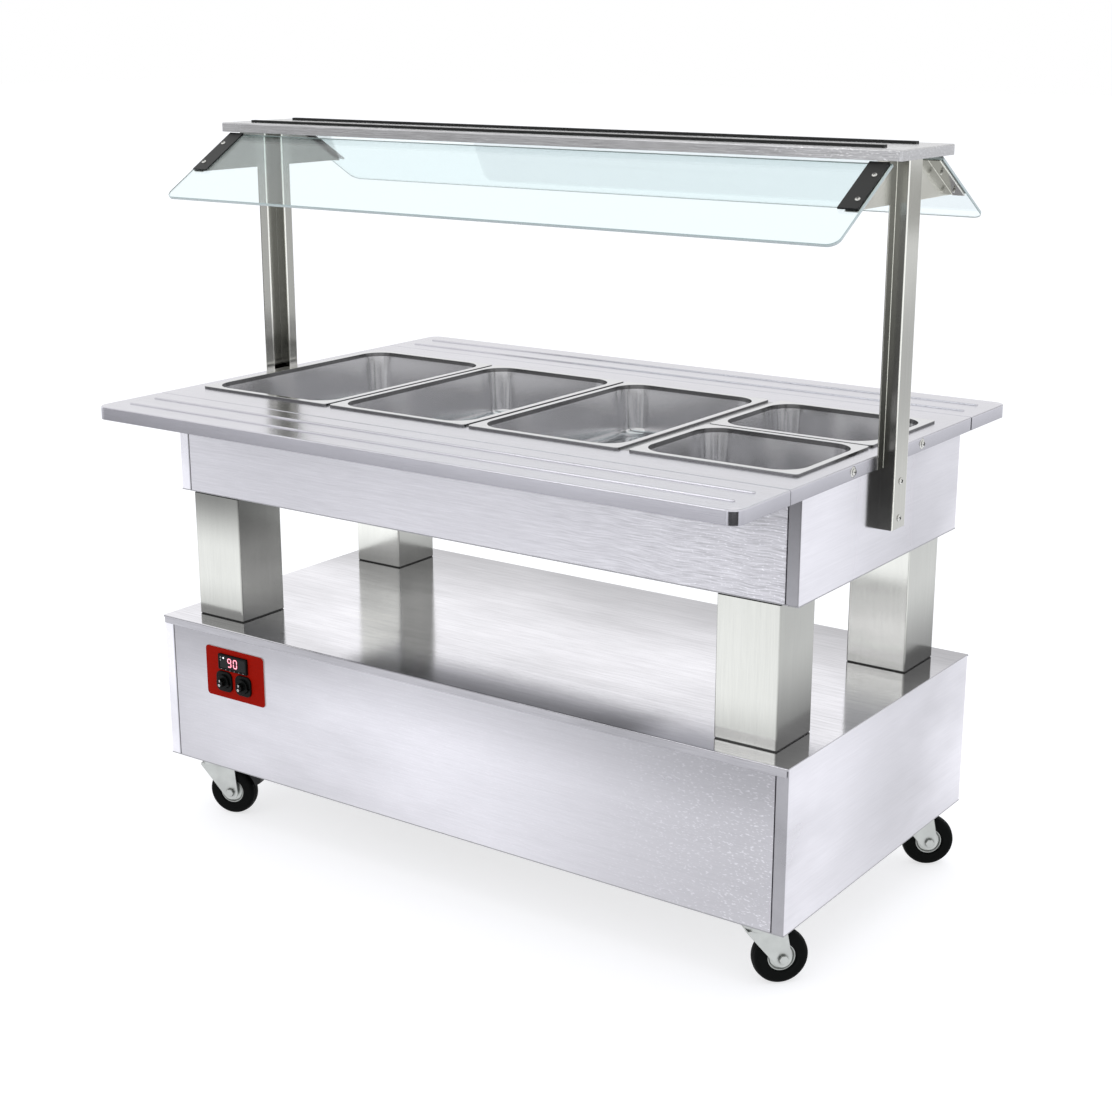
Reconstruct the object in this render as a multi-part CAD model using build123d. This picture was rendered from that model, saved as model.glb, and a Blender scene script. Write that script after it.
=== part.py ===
from build123d import *
import os
from math import cos, radians, sin

# A mobile bain marie counter with four gastronorm places. Millimetres, +Z up, +X along its length,
# +Y to the back. The origin is on the floor, under the middle of the counter.

# Sheet metal
sheet = 1.5
bend_radius = 2.5
panel_fold = 15.0
panel_gap = 1.0
end_strip = 24.0
floor_sheet = 2.0
seat_gap = 0.3

# Gastronorm pans, which set the size of the counter
pan_width = 325.0
pan_length = 530.0
pan_depth = 100.0
pan_wall = 1.0
pan_rim = 11.0
pan_rim_height = 4.0
pan_rim_corner = 8.0
pan_body_corner = 50.0
pan_floor_radius = 16.0
pan_taper = 6.0
pan_gap = 8.0
half_pan_gap = 6.0
half_pan_place_gap = 20.0
rim_bearing = 6.0
bar_clearance = 2.0

# Counter top and well casing round the pans
top_thickness = 25.0
collar_depth = 16.0
collar_ledge = 4.0
opening_corner = 20.0
well_end_room = 38.0
well_side_room = 46.0
top_end_overhang = 2.0
top_side_overhang = 42.0

# Water tank, heater, probe and drain
tank_flange = 14.0
tank_floor_room = 49.0
heater_rod = 8.5
heater_rise = 25.0
heater_pan_gap = 26.25
heater_runs = 4
heater_run_pitch = 80.0
heater_end_inset = 90.0
heater_tail = 26.0
collar_nut = 18.0
collar_nut_thickness = 4.0
probe_rod = 6.0
probe_length = 70.0
probe_offset = 180.0
drain_x = 420.0
drain_y = 150.0
drain_pipe = 26.0
drain_bore = 14.0
drain_flange = 44.0
drain_body_drop = 62.0
drain_ball = 44.0
drain_web = 5.0
drain_elbow_stub = 10.0
drain_tail = 20.0
drain_tail_length = 40.0
lever_stem = 10.0
lever_stem_end = 4.0
lever_length = 95.0
lever_width = 16.0
lever_sheet = 3.0

# Legs
leg_side = 120.0
leg_height = 256.0
leg_wall = 1.5
leg_corner = 3.0
leg_plug = 6.0
leg_reveal = 2.0
leg_end_inset = 32.0
leg_face_inset = 1.0
leg_cable_hole = 50.0

# Base cabinet
base_height = 300.0
base_end_overhang = 20.0
base_side_overhang = 52.0
deck_lip = 16.0
deck_lip_relief = 3.0
channel_width = 110.0
channel_height = 35.0
channel_wall = 3.0
channel_end_gap = 4.0

# Tray slides that fold down on hinges under the seam
slide_width = 165.0
slide_gap = 0.8
slide_corner = 22.0
bead_offsets = (48.0, 111.0)
bead_width = 8.0
bead_height = 2.5
bead_end_inset = 36.0
hinge_end_inset = 142.0
hinge_length = 50.0
hinge_knuckle = 8.0
hinge_pin = 4.0
hinge_leaf_room = 3.5
hinge_sheet = 2.0
hinge_clearance = 0.3

# Uprights
upright_sheet = 2.0
channel_face = 50.0
channel_out = 24.0
upright_flange = 21.0
upright_foot = 133.0
upright_neck_gap = 8.0

# Canopy with its glass
canopy_rise = 508.0
canopy_end_overhang = 45.0
canopy_depth = 204.0
canopy_thickness = 18.0
rail_end_inset = 49.0
rail_width = 12.0
rail_height = 4.5
rail_offset = 60.0
glass_end_overhang = 28.0
glass_width = 216.0
glass_thickness = 6.0
glass_corner = 20.0
glass_angle = 31.0
glass_top_inset = 5.0
glass_top_drop = 4.0
clamp_width = 36.0
clamp_length = 126.0
clamp_thickness = 3.0
clamp_screw_places = (37.0, 102.0)

# Screws
screw_shank = 4.0
screw_head = 9.0
screw_head_height = 3.0
screw_head_round = 2.0
screw_clearance = 0.4
screw_reach = 6.0
web_screw_drop = 25.0
foot_screw_rise = 18.0
edge_screw_offset = 133.0
edge_screw_drop = 12.0

# Control plate on the base
plate_width = 158.0
plate_height = 104.0
plate_sheet = 1.5
plate_corner = 8.0
plate_from_end = 195.0
plate_drop = 93.0
display_width = 78.0
display_height = 33.0
display_bezel = 5.0
display_edge_round = 1.5
display_shift = -3.0
display_top_gap = 11.0
display_body_depth = 58.0
display_body_inset = 3.5
display_window_depth = 1.5
display_window_margin = 4.0
switch_row_gap = 4.0
switch_gap = 10.0
switch_bezel = 42.0
switch_bezel_height = 4.0
switch_bezel_corner = 12.0
switch_barrel = 20.0
switch_depth = 34.0
knob_diameter = 30.0
knob_skirt = 4.5
knob_skirt_round = 1.2
knob_nib_reach = 3.0
knob_nib_width = 5.0
knob_nib_angle = -15.0
knob_grip = 17.0
knob_grip_height = 8.0
knob_grip_round = 0.6
knob_flute = 3.0
knob_flutes = 10
knob_stem = 8.0
knob_stem_length = 10.0
knob_clearance = 0.3

# Cable gland on the back of the base
gland_from_end = 180.0
gland_rise = 90.0
gland_thread = 20.0
gland_hex = 24.0
gland_bore = 10.0
gland_hex_height = 6.0
gland_dome_height = 12.0
gland_dome_round = 4.0
gland_inside = 14.0

# Castor wheels
wheel_diameter = 100.0
tyre_width = 30.0
tyre_bead_inset = 3.0
tyre_shoulder = 9.0
tread_width = 12.0
tread_crown = 1.0
rim_diameter = 50.0
rim_edge_width = 24.0
rim_edge = 1.5
rim_dish = 4.0
rim_web_width = 18.0
hub_diameter = 24.0
hub_length = 33.0
hub_web_width = 21.0
axle_diameter = 10.0
axle_clearance = 0.3
axle_head = 17.0
axle_head_height = 6.0

# Castor forks and top plates
castor_trail = 35.0
castor_inset_y = 60.0
fork_side_gap = 0.5
fork_sheet = 3.0
fork_end_radius = 16.0
fork_back = 40.0
crown_sheet = 4.0
crown_wheel_gap = 4.0
race_diameter = 60.0
race_height = 10.6
swivel_gap = 0.4
king_pin = 14.0
king_pin_head = 22.0
king_pin_head_height = 4.0
boss_diameter = 52.0
boss_height = 7.0
castor_plate_x = 100.0
castor_plate_y = 85.0
castor_plate_sheet = 4.0
castor_plate_corner = 5.0
castor_bolt_head = 11.0
castor_bolt_height = 5.0
castor_bolt_inset = 11.0
castor_turns = {"front_left": 18.0, "front_right": 48.0, "rear_left": 25.0, "rear_right": 38.0}

# Brake pedals on the left castors
brake_pin = 6.0
brake_boss = 7.0
brake_boss_gap = 1.0
brake_pivot_rise = 8.0
brake_width = 26.0
brake_wheel_gap = 7.0
brake_shoe_angles = (80.0, 18.0)
brake_shoulder = 20.0
brake_reach = 66.0
brake_tip = 8.0

# Levels, from the floor up
wheel_radius = wheel_diameter / 2
crown_bottom = wheel_diameter + crown_wheel_gap
crown_top = crown_bottom + crown_sheet
race_top = crown_top + race_height
boss_bottom = race_top + swivel_gap
castor_plate_bottom = boss_bottom + boss_height
base_bottom = castor_plate_bottom + castor_plate_sheet
deck_top = base_bottom + base_height
well_bottom = deck_top + leg_height
tank_floor = well_bottom + floor_sheet + tank_floor_room + sheet
heater_z = tank_floor + heater_rise
pan_bottom = heater_z + heater_rod / 2 + heater_pan_gap
rim_top = pan_bottom + pan_depth
top = rim_top - pan_rim_height
lip_bottom = top - top_thickness
canopy_top = top + canopy_rise
canopy_bottom = canopy_top - canopy_thickness

# Faces, from the middle out
half_pan_length = (pan_length - half_pan_gap) / 2
pans_width = 4 * pan_width + 2 * pan_gap + half_pan_place_gap
opening_x = pans_width / 2 - rim_bearing
opening_y = pan_length / 2 - rim_bearing
well_x = opening_x + well_end_room
well_y = opening_y + well_side_room
top_x = well_x + top_end_overhang
seam_y = well_y + top_side_overhang
base_x = well_x + base_end_overhang
deck_y = well_y + base_side_overhang
base_y = deck_y - bend_radius - seat_gap

parts = {}


def block(x0, x1, y0, y1, z0, z1):
    """A rectangular solid between two corners."""
    return Pos((x0 + x1) / 2, (y0 + y1) / 2, (z0 + z1) / 2) * Box(x1 - x0, y1 - y0, z1 - z0)


def rod(diameter, start, end):
    """A round bar from one point to another."""
    axis = Vector(*end) - Vector(*start)
    return extrude(Plane(origin=start, z_dir=axis) * Circle(diameter / 2), axis.length)


def rounded_prism(length, depth, corner, z0, z1):
    """An upright prism with rounded corners, centred on the origin."""
    return Pos(0, 0, z0) * extrude(RectangleRounded(length, depth, corner), z1 - z0)


def folded(points):
    """The section of a sheet bent along its outer-face points, with the inside to the left."""
    line = FilletPolyline(*points, radius=bend_radius)
    return make_face(line.wire().offset_2d(sheet, side=Side.LEFT))


def channel(length, width, height, wall):
    """An upturned channel along X, open below, standing on Z 0."""
    section = Pos(0, height / 2) * Rectangle(width, height)
    section -= Pos(0, (height - wall) / 2) * Rectangle(width - 2 * wall, height - wall)
    return extrude(Plane(origin=(-length / 2, 0, 0), x_dir=(0, 1, 0), z_dir=(1, 0, 0)) * section, length)


def cap(length, depth, height, z_top):
    """A lid folded from sheet: a flat top with its edge turned down all round."""
    corner = bend_radius + sheet
    outer = rounded_prism(length, depth, corner, z_top - height, z_top)
    outer = fillet(outer.faces().sort_by(Axis.Z)[-1].edges(), bend_radius)
    return outer - rounded_prism(length - 2 * sheet, depth - 2 * sheet, corner - sheet,
                                 z_top - height, z_top - sheet)


def casing(name, half_x, half_y, z0, z1):
    """Four folded panels on a floor sheet, with the end panels returned onto the long faces."""
    z_panel = z0 + floor_sheet
    strip_x = half_x - end_strip
    fold_y = half_y - panel_fold
    end_line = [(strip_x, -fold_y), (strip_x, -half_y), (half_x, -half_y)]
    end_line += [(x, -y) for x, y in reversed(end_line)]
    right = Pos(0, 0, z_panel) * extrude(folded(end_line), z1 - z_panel)
    right += block(half_x - panel_fold, half_x - sheet, -fold_y, fold_y, z_panel, z_panel + sheet)
    face_x = strip_x - panel_gap
    front_line = [(-face_x, -fold_y), (-face_x, -half_y), (face_x, -half_y), (face_x, -fold_y)]
    front = Pos(0, 0, z_panel) * extrude(folded(front_line), z1 - z_panel)
    front += block(bend_radius - face_x, face_x - bend_radius, sheet - half_y, -fold_y,
                   z_panel, z_panel + sheet)
    parts[name + "_front_panel"] = front
    parts[name + "_rear_panel"] = mirror(front, about=Plane.XZ)
    parts[name + "_right_panel"] = right
    parts[name + "_left_panel"] = mirror(right, about=Plane.YZ)
    parts[name + "_floor"] = block(-half_x, half_x, -half_y, half_y, z0, z_panel)


def corners(x, y):
    """The four corners of a rectangle, by name."""
    return {"front_left": (-x, -y), "front_right": (x, -y), "rear_left": (-x, y), "rear_right": (x, y)}


# Base cabinet: the deck is folded down at the front and back, and lies on the end panels
casing("base", base_x, base_y, base_bottom, deck_top - sheet)
lip_z = deck_top - deck_lip
deck_line = [(deck_y, lip_z), (deck_y, deck_top), (-deck_y, deck_top), (-deck_y, lip_z)]
deck_plane = Plane(origin=(-base_x, 0, 0), x_dir=(0, 1, 0), z_dir=(1, 0, 0))
deck = extrude(deck_plane * folded(deck_line), 2 * base_x)
relief_z = deck_top - bend_radius - sheet
deck -= block(base_x - deck_lip_relief, base_x, -deck_y, deck_y, lip_z, relief_z)
deck -= block(-base_x, deck_lip_relief - base_x, -deck_y, deck_y, lip_z, relief_z)

castor_x = base_x - panel_fold - channel_end_gap - channel_width / 2
castor_y = deck_y - castor_inset_y
channel_length = 2 * (base_y - panel_fold - seat_gap)
castor_channel = Rot(0, 0, 90) * channel(channel_length, channel_width, channel_height, channel_wall)
parts["castor_channels"] = Compound(
    children=[Pos(x, 0, base_bottom + floor_sheet) * castor_channel for x in (-castor_x, castor_x)])

# Legs: square tubes on a plate let into each end, which leaves a narrow shadow line
leg_x = well_x - leg_end_inset - leg_side / 2
leg_y = well_y - leg_face_inset - leg_side / 2
leg_inner = leg_side - 2 * leg_wall
leg_bore = RectangleRounded(leg_inner, leg_inner, leg_corner - leg_wall)
leg_section = RectangleRounded(leg_side, leg_side, leg_corner) - leg_bore
leg_plate = extrude(leg_bore - Circle(leg_cable_hole / 2), leg_plug)
leg = Pos(0, 0, deck_top + leg_reveal) * extrude(leg_section, leg_height - 2 * leg_reveal)
leg += Pos(0, 0, deck_top) * leg_plate + Pos(0, 0, well_bottom - leg_plug) * leg_plate
for place, (x, y) in corners(leg_x, leg_y).items():
    parts["leg_" + place] = Pos(x, y, 0) * leg

# Well casing under the counter top, with a way for the wires through the front left leg
casing("well", well_x, well_y, well_bottom, top - sheet)
wires = (-leg_x, -leg_y)
parts["base_deck"] = deck - rod(leg_cable_hole, (*wires, deck_top - sheet), (*wires, deck_top))
parts["well_floor"] -= rod(leg_cable_hole, (*wires, well_bottom), (*wires, well_bottom + floor_sheet))

# Counter frame: a folded top with a collar and a ledge round the pan opening
frame = cap(2 * top_x, 2 * seam_y, top_thickness, top)
collar_bottom = top - collar_depth
ledge_top = collar_bottom + sheet
frame += rounded_prism(2 * (opening_x + sheet), 2 * (opening_y + sheet), opening_corner + sheet,
                       collar_bottom, top)
frame -= rounded_prism(2 * opening_x, 2 * opening_y, opening_corner, ledge_top, top)
frame -= rounded_prism(2 * (opening_x - collar_ledge), 2 * (opening_y - collar_ledge),
                       opening_corner - collar_ledge, collar_bottom, top)


# Pans: tapered bowls under a flat rim with a turned-down edge
def pan(length):
    """A gastronorm pan of the common width, whose rim stands on the counter top."""
    rim = rounded_prism(pan_width, length, pan_rim_corner, top, rim_top)
    rim = fillet(rim.faces().sort_by(Axis.Z)[-1].edges(), pan_wall)
    rim -= rounded_prism(pan_width - 2 * pan_wall, length - 2 * pan_wall, pan_rim_corner - pan_wall,
                         top, rim_top - pan_wall)

    def bowl(inset, depth):
        mouth = RectangleRounded(pan_width - 2 * (pan_rim + inset), length - 2 * (pan_rim + inset),
                                 pan_body_corner - inset)
        solid = Pos(0, 0, rim_top) * extrude(mouth, -depth, taper=pan_taper)
        return fillet(solid.faces().sort_by(Axis.Z)[0].edges(), pan_floor_radius - inset)

    return rim + bowl(0, pan_depth) - bowl(pan_wall, pan_depth - pan_wall)


pan_pitch = pan_width + pan_gap
first_pan_x = (pan_width - pans_width) / 2
half_pan_x = -first_pan_x
half_pan_y = (pan_length - half_pan_length) / 2
full_pan = pan(pan_length)
for number in range(3):
    parts[f"pan_{number + 1}"] = Pos(first_pan_x + number * pan_pitch, 0, 0) * full_pan
half_pan = pan(half_pan_length)
parts["half_pan_front"] = Pos(half_pan_x, -half_pan_y, 0) * half_pan
parts["half_pan_rear"] = Pos(half_pan_x, half_pan_y, 0) * half_pan

# Crossbars on the collar's ledge, which carry the pan rims level with the counter top
bar_length = 2 * (opening_y - seat_gap)
bar_height = top - ledge_top
bar_cover = 2 * (pan_rim - bar_clearance)
tee_width = half_pan_place_gap + bar_cover
tee_x = half_pan_x - (pan_width + half_pan_place_gap) / 2
arm_start = tee_x + tee_width / 2 - sheet
arm_end = opening_x - seat_gap
narrow_bar = Rot(0, 0, 90) * channel(bar_length, pan_gap + bar_cover, bar_height, sheet)
bars = [Pos(first_pan_x + (number + 0.5) * pan_pitch, 0, ledge_top) * narrow_bar for number in range(2)]
tee = Pos(tee_x, 0, ledge_top) * Rot(0, 0, 90) * channel(bar_length, tee_width, bar_height, sheet)
tee += Pos((arm_start + arm_end) / 2, 0, ledge_top) * channel(
    arm_end - arm_start, half_pan_gap + bar_cover, bar_height, sheet)
parts["pan_crossbars"] = Compound(children=bars + [tee])

# Water tank hung from the counter frame, round the collar
tank_x = opening_x + sheet + seat_gap
tank_y = opening_y + sheet + seat_gap
tank_corner = opening_corner + sheet + seat_gap
tank_top = top - sheet
tank = rounded_prism(2 * (tank_x + sheet), 2 * (tank_y + sheet), tank_corner + sheet,
                     tank_floor - sheet, tank_top)
tank += rounded_prism(2 * (tank_x + tank_flange), 2 * (tank_y + tank_flange), tank_corner + tank_flange,
                      tank_top - sheet, tank_top)
tank -= rounded_prism(2 * tank_x, 2 * tank_y, tank_corner, tank_floor, tank_top)
tank_wall = -tank_x - sheet


def through_tank_wall(y):
    """A collar nut on each side of the tank's left wall."""
    outside = rod(collar_nut, (tank_wall - collar_nut_thickness, y, heater_z), (tank_wall, y, heater_z))
    face = tank_wall + sheet
    inside = rod(collar_nut, (face, y, heater_z), (face + collar_nut_thickness, y, heater_z))
    return outside + inside


def tank_hole(diameter, y):
    """A round hole in the tank's left wall."""
    return rod(diameter, (tank_wall, y, heater_z), (tank_wall + sheet, y, heater_z))


# Heater: one rod laid in runs over the tank floor, both ends through the left wall
heater_far = tank_x - heater_end_inset
heater_start = tank_wall - heater_tail
run_ys = [(run - (heater_runs - 1) / 2) * heater_run_pitch for run in range(heater_runs)]
heater_line = []
for run, y in enumerate(run_ys):
    side = 1 if run % 2 == 0 else -1
    near = heater_start if run == 0 else -side * heater_far
    far = heater_start if run == heater_runs - 1 else side * heater_far
    heater_line.append(Line((near, y, heater_z), (far, y, heater_z)))
    if run < heater_runs - 1:
        bend = (far + side * heater_run_pitch / 2, y + heater_run_pitch / 2, heater_z)
        heater_line.append(ThreePointArc((far, y, heater_z), bend, (far, run_ys[run + 1], heater_z)))
heater_section = Plane(origin=(heater_start, run_ys[0], heater_z), z_dir=(1, 0, 0)) * Circle(heater_rod / 2)
heater = sweep(heater_section, path=Wire([part.edge() for part in heater_line]))
for y in (run_ys[0], run_ys[-1]):
    heater += through_tank_wall(y)
    tank -= tank_hole(heater_rod, y)
parts["heating_element"] = heater

probe = rod(probe_rod, (heater_start, probe_offset, heater_z),
            (tank_wall + probe_length, probe_offset, heater_z))
parts["temperature_probe"] = probe + through_tank_wall(probe_offset)
tank -= tank_hole(probe_rod, probe_offset)

# Drain: a flanged pipe from the tank floor to a closed ball valve, then an elbow and a hose tail
drain_top = tank_floor + collar_nut_thickness
ball_z = well_bottom - drain_body_drop / 2
elbow_z = well_bottom - drain_body_drop
tail_start = drain_pipe / 2 + drain_elbow_stub
tail_end = tail_start + drain_tail_length
lever_face_y = drain_ball / 2 + seat_gap
valve = rod(drain_pipe, (0, 0, drain_top), (0, 0, elbow_z))
valve += Pos(0, 0, elbow_z) * Sphere(drain_pipe / 2)
valve += rod(drain_pipe, (0, 0, elbow_z), (0, -tail_start, elbow_z))
valve += rod(drain_tail, (0, -tail_start, elbow_z), (0, -tail_end, elbow_z))
valve += rod(drain_flange, (0, 0, tank_floor), (0, 0, drain_top))
valve += rod(drain_flange, (0, 0, tank_floor - sheet - collar_nut_thickness), (0, 0, tank_floor - sheet))
valve += Pos(0, 0, ball_z) * Sphere(drain_ball / 2)
valve += rod(lever_stem, (0, 0, ball_z), (0, lever_face_y + lever_sheet + lever_stem_end, ball_z))
valve -= rod(drain_bore, (0, 0, drain_top), (0, 0, ball_z + drain_web / 2))
valve -= rod(drain_bore, (0, 0, ball_z - drain_web / 2), (0, 0, elbow_z))
valve -= Pos(0, 0, elbow_z) * Sphere(drain_bore / 2)
valve -= rod(drain_bore, (0, 0, elbow_z), (0, -tail_end, elbow_z))
parts["drain_valve"] = Pos(drain_x, drain_y, 0) * valve
tank -= rod(drain_pipe + 2 * seat_gap, (drain_x, drain_y, tank_floor - sheet), (drain_x, drain_y, tank_floor))
parts["water_tank"] = tank
parts["well_floor"] -= rod(drain_flange, (drain_x, drain_y, well_bottom),
                           (drain_x, drain_y, well_bottom + floor_sheet))

lever_shape = Pos(lever_length / 2, 0) * SlotCenterToCenter(lever_length, lever_width)
lever_shape -= Circle(lever_stem / 2 + hinge_clearance)
lever_plane = Plane(origin=(drain_x, drain_y + lever_face_y, ball_z), x_dir=(1, 0, 0), z_dir=(0, 1, 0))
parts["drain_lever"] = extrude(lever_plane * lever_shape, lever_sheet)

# Tray slides: folded lids with two round outer corners and raised beads
slide_y = seam_y + slide_gap
hinge_y = seam_y + slide_gap / 2
hinge_z = lip_bottom - hinge_knuckle / 2 - slide_gap
hinge_leaf = top_thickness - sheet - hinge_leaf_room
hinge_xs = (hinge_end_inset - top_x, 0, top_x - hinge_end_inset)
knuckle_split = hinge_length / 4


def slide_outline(inset):
    """The slide's outline, rounded at its two outer corners, inset by so much."""
    shape = Pos(0, slide_y + slide_width / 2) * Rectangle(2 * (top_x - inset), slide_width - 2 * inset)
    return fillet(shape.vertices().group_by(Axis.Y)[-1], slide_corner - inset)


slide = Pos(0, 0, lip_bottom) * extrude(slide_outline(0), top_thickness)
slide = fillet(slide.faces().sort_by(Axis.Z)[-1].edges(), bend_radius)
slide -= Pos(0, 0, lip_bottom) * extrude(slide_outline(sheet), top_thickness - sheet)
bead = extrude(SlotOverall(2 * (top_x - bead_end_inset), bead_width), sheet + bead_height)
bead = fillet(bead.faces().sort_by(Axis.Z)[-1].edges(), bead_height)
for offset in bead_offsets:
    slide += Pos(0, slide_y + offset, top - sheet) * bead


def hinge_leaf_plate(x0, x1, y0, z0, z1):
    """A flat stretch of a hinge leaf, standing along the seam."""
    return block(x0, x1, y0, y0 + hinge_sheet, z0, z1)


# Hinges: the slide carries the outer knuckles, the frame the middle knuckle with the pin
fixed_hinges = []
for x in hinge_xs:
    left = x - hinge_length / 2
    right = x + hinge_length / 2
    slide += hinge_leaf_plate(left, right, slide_y + sheet, lip_bottom, lip_bottom + hinge_leaf)
    for x0, x1 in ((left, x - knuckle_split), (x + knuckle_split, right)):
        slide += hinge_leaf_plate(x0, x1, slide_y + sheet, hinge_z, lip_bottom)
        slide += rod(hinge_knuckle, (x0, hinge_y, hinge_z), (x1, hinge_y, hinge_z))
    slide -= rod(hinge_pin + 2 * hinge_clearance, (left, hinge_y, hinge_z), (right, hinge_y, hinge_z))
    fixed_y = seam_y - sheet - hinge_sheet
    x0 = x - knuckle_split + hinge_clearance
    x1 = x + knuckle_split - hinge_clearance
    hinge = hinge_leaf_plate(left, right, fixed_y, lip_bottom, lip_bottom + hinge_leaf)
    hinge += hinge_leaf_plate(x0, x1, fixed_y, hinge_z, lip_bottom)
    hinge += rod(hinge_knuckle, (x0, hinge_y, hinge_z), (x1, hinge_y, hinge_z))
    hinge += rod(hinge_pin, (left, hinge_y, hinge_z), (right, hinge_y, hinge_z))
    fixed_hinges += [hinge, mirror(hinge, about=Plane.XZ)]
parts["rear_tray_slide"] = slide
parts["front_tray_slide"] = mirror(slide, about=Plane.XZ)
parts["slide_hinges"] = Compound(children=fixed_hinges)


# Screws with round heads
def screw(seat, direction, length):
    """A screw whose head sits on a face at a point, with its shank going in along a direction."""
    plane = Plane(origin=seat, z_dir=direction)
    head = extrude(plane * Circle(screw_head / 2), -screw_head_height)
    rim = head.edges().filter_by(GeomType.CIRCLE).sort_by(Axis(seat, direction))[0]
    return fillet(rim, screw_head_round) + extrude(plane * Circle(screw_shank / 2), length)


def screw_hole(seat, direction, length):
    """Room for a screw's shank."""
    return extrude(Plane(origin=seat, z_dir=direction) * Circle(screw_shank / 2 + screw_clearance), length)


screws = []

# Glass panes on a slope under the canopy's long edges. Local X runs along the pane and Y up the slope.
slope_sin = sin(radians(glass_angle))
slope_cos = cos(radians(glass_angle))
pane_y = canopy_depth / 2 - glass_top_inset
pane_z = canopy_bottom - glass_top_drop
slope = Plane(origin=(0, pane_y, pane_z), x_dir=(-1, 0, 0), z_dir=(0, slope_sin, slope_cos))


def on_slope(down, out):
    """Y and Z of a point so far down the rear pane's outer face and so far out from it."""
    return (pane_y + down * slope_cos + out * slope_sin, pane_z - down * slope_sin + out * slope_cos)


pane_shape = Pos(0, -glass_width / 2) * Rectangle(2 * (top_x + glass_end_overhang), glass_width)
pane_shape = fillet(pane_shape.vertices().group_by(Axis.Y)[0], glass_corner)
pane = extrude(slope * pane_shape, -glass_thickness)
web_x = top_x + channel_out
clamp_x = web_x - clamp_width / 2
clamp_screw_x = (top_x + upright_sheet + web_x) / 2
clamp_shape = Pos(0, -clamp_length / 2) * Rectangle(clamp_width, clamp_length)
clamps = [extrude(slope * Pos(x, 0) * clamp_shape, clamp_thickness) for x in (-clamp_x, clamp_x)]
clamp_screw_length = clamp_thickness + glass_thickness + upright_sheet + screw_reach
into_slope = (0, -slope_sin, -slope_cos)
clamp_holes = []
for x in (-clamp_screw_x, clamp_screw_x):
    for down in clamp_screw_places:
        seat = (x, *on_slope(down, clamp_thickness))
        screws.append(screw(seat, into_slope, clamp_screw_length))
        clamp_holes.append(screw_hole(seat, into_slope, clamp_screw_length))
for hole in clamp_holes:
    pane -= hole
    clamps = [clamp - hole for clamp in clamps]
parts["glass_rear"] = pane
parts["glass_front"] = mirror(pane, about=Plane.XZ)
parts["glass_clamps"] = Compound(children=clamps + [mirror(clamp, about=Plane.XZ) for clamp in clamps])
screws += [mirror(item, about=Plane.XZ) for item in screws]
clamp_holes += [mirror(item, about=Plane.XZ) for item in clamp_holes]

# Right upright: a channel whose flanges widen into wings, each with a bed folded out for a pane
half_face = channel_face / 2
half_flange = half_face + upright_flange
foot_z = top - upright_foot
tray_ceiling = canopy_top - sheet
wing_low = on_slope(clamp_length, -glass_thickness)
wing_high = on_slope(0, -glass_thickness)
neck_y = canopy_depth / 2 - sheet - upright_neck_gap
half_wing = [(half_flange, lip_bottom), (half_flange, wing_low[1]), wing_low, wing_high,
             (neck_y, tray_ceiling)]
wing_line = Polyline(*half_wing, *[(-y, z) for y, z in reversed(half_wing)], close=True)
wing_plane = Plane(origin=(top_x, 0, 0), x_dir=(0, 1, 0), z_dir=(1, 0, 0))
upright = extrude(wing_plane * make_face(wing_line), upright_sheet)
bore_y = half_face - upright_sheet
upright -= block(top_x, top_x + upright_sheet, -bore_y, bore_y, lip_bottom, tray_ceiling)


def channel_walls(x0, z0, z1):
    """The channel's two sides and its outer web, from an inner face out."""
    outer = block(x0, web_x, -half_face, half_face, z0, z1)
    outer = fillet(outer.edges().filter_by(Axis.Z).group_by(Axis.X)[-1], bend_radius)
    return outer - block(x0, web_x - upright_sheet, -bore_y, bore_y, z0, z1)


upright += channel_walls(top_x, lip_bottom, tray_ceiling)
upright += channel_walls(well_x, foot_z, lip_bottom)
bed_shape = Pos(-(top_x + web_x) / 2, -clamp_length / 2) * Rectangle(channel_out, clamp_length)
bed = extrude(slope.offset(-glass_thickness) * bed_shape, -upright_sheet)
upright += bed + mirror(bed, about=Plane.XZ)
for hole in clamp_holes:
    upright -= hole

# Screws through the upright's foot, and through the counter frame's end lips
inward = (-1, 0, 0)
foot_reach = channel_out + top_end_overhang + sheet + screw_reach
lip_reach = top_end_overhang + sheet + screw_reach
foot_seats = [(web_x, 0, lip_bottom - web_screw_drop), (web_x, 0, foot_z + foot_screw_rise)]
lip_seats = [(top_x, y, top - edge_screw_drop) for y in (-edge_screw_offset, edge_screw_offset)]
for seat in foot_seats:
    hole = screw_hole(seat, inward, foot_reach)
    upright -= hole
    parts["well_right_panel"] -= hole
    screws += [screw(seat, inward, foot_reach)]
    screws += [mirror(screws[-1], about=Plane.YZ)]
for seat in lip_seats:
    hole = screw_hole(seat, inward, lip_reach)
    frame -= hole
    frame -= mirror(hole, about=Plane.YZ)
    parts["well_right_panel"] -= hole
    screws += [screw(seat, inward, lip_reach)]
    screws += [mirror(screws[-1], about=Plane.YZ)]
parts["well_left_panel"] = mirror(parts["well_right_panel"], about=Plane.YZ)
parts["counter_frame"] = frame
parts["upright_right"] = upright
parts["upright_left"] = mirror(upright, about=Plane.YZ)
parts["screws"] = Compound(children=screws)

# Canopy: a shallow folded tray with two flat rails on it
canopy_x = top_x + canopy_end_overhang
rail_x = canopy_x - rail_end_inset
parts["canopy_top"] = cap(2 * canopy_x, canopy_depth, canopy_thickness, canopy_top)
rail = block(-rail_x, rail_x, -rail_width / 2, rail_width / 2, canopy_top, canopy_top + rail_height)
parts["canopy_rails"] = Compound(children=[Pos(0, y, 0) * rail for y in (-rail_offset, rail_offset)])

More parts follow.
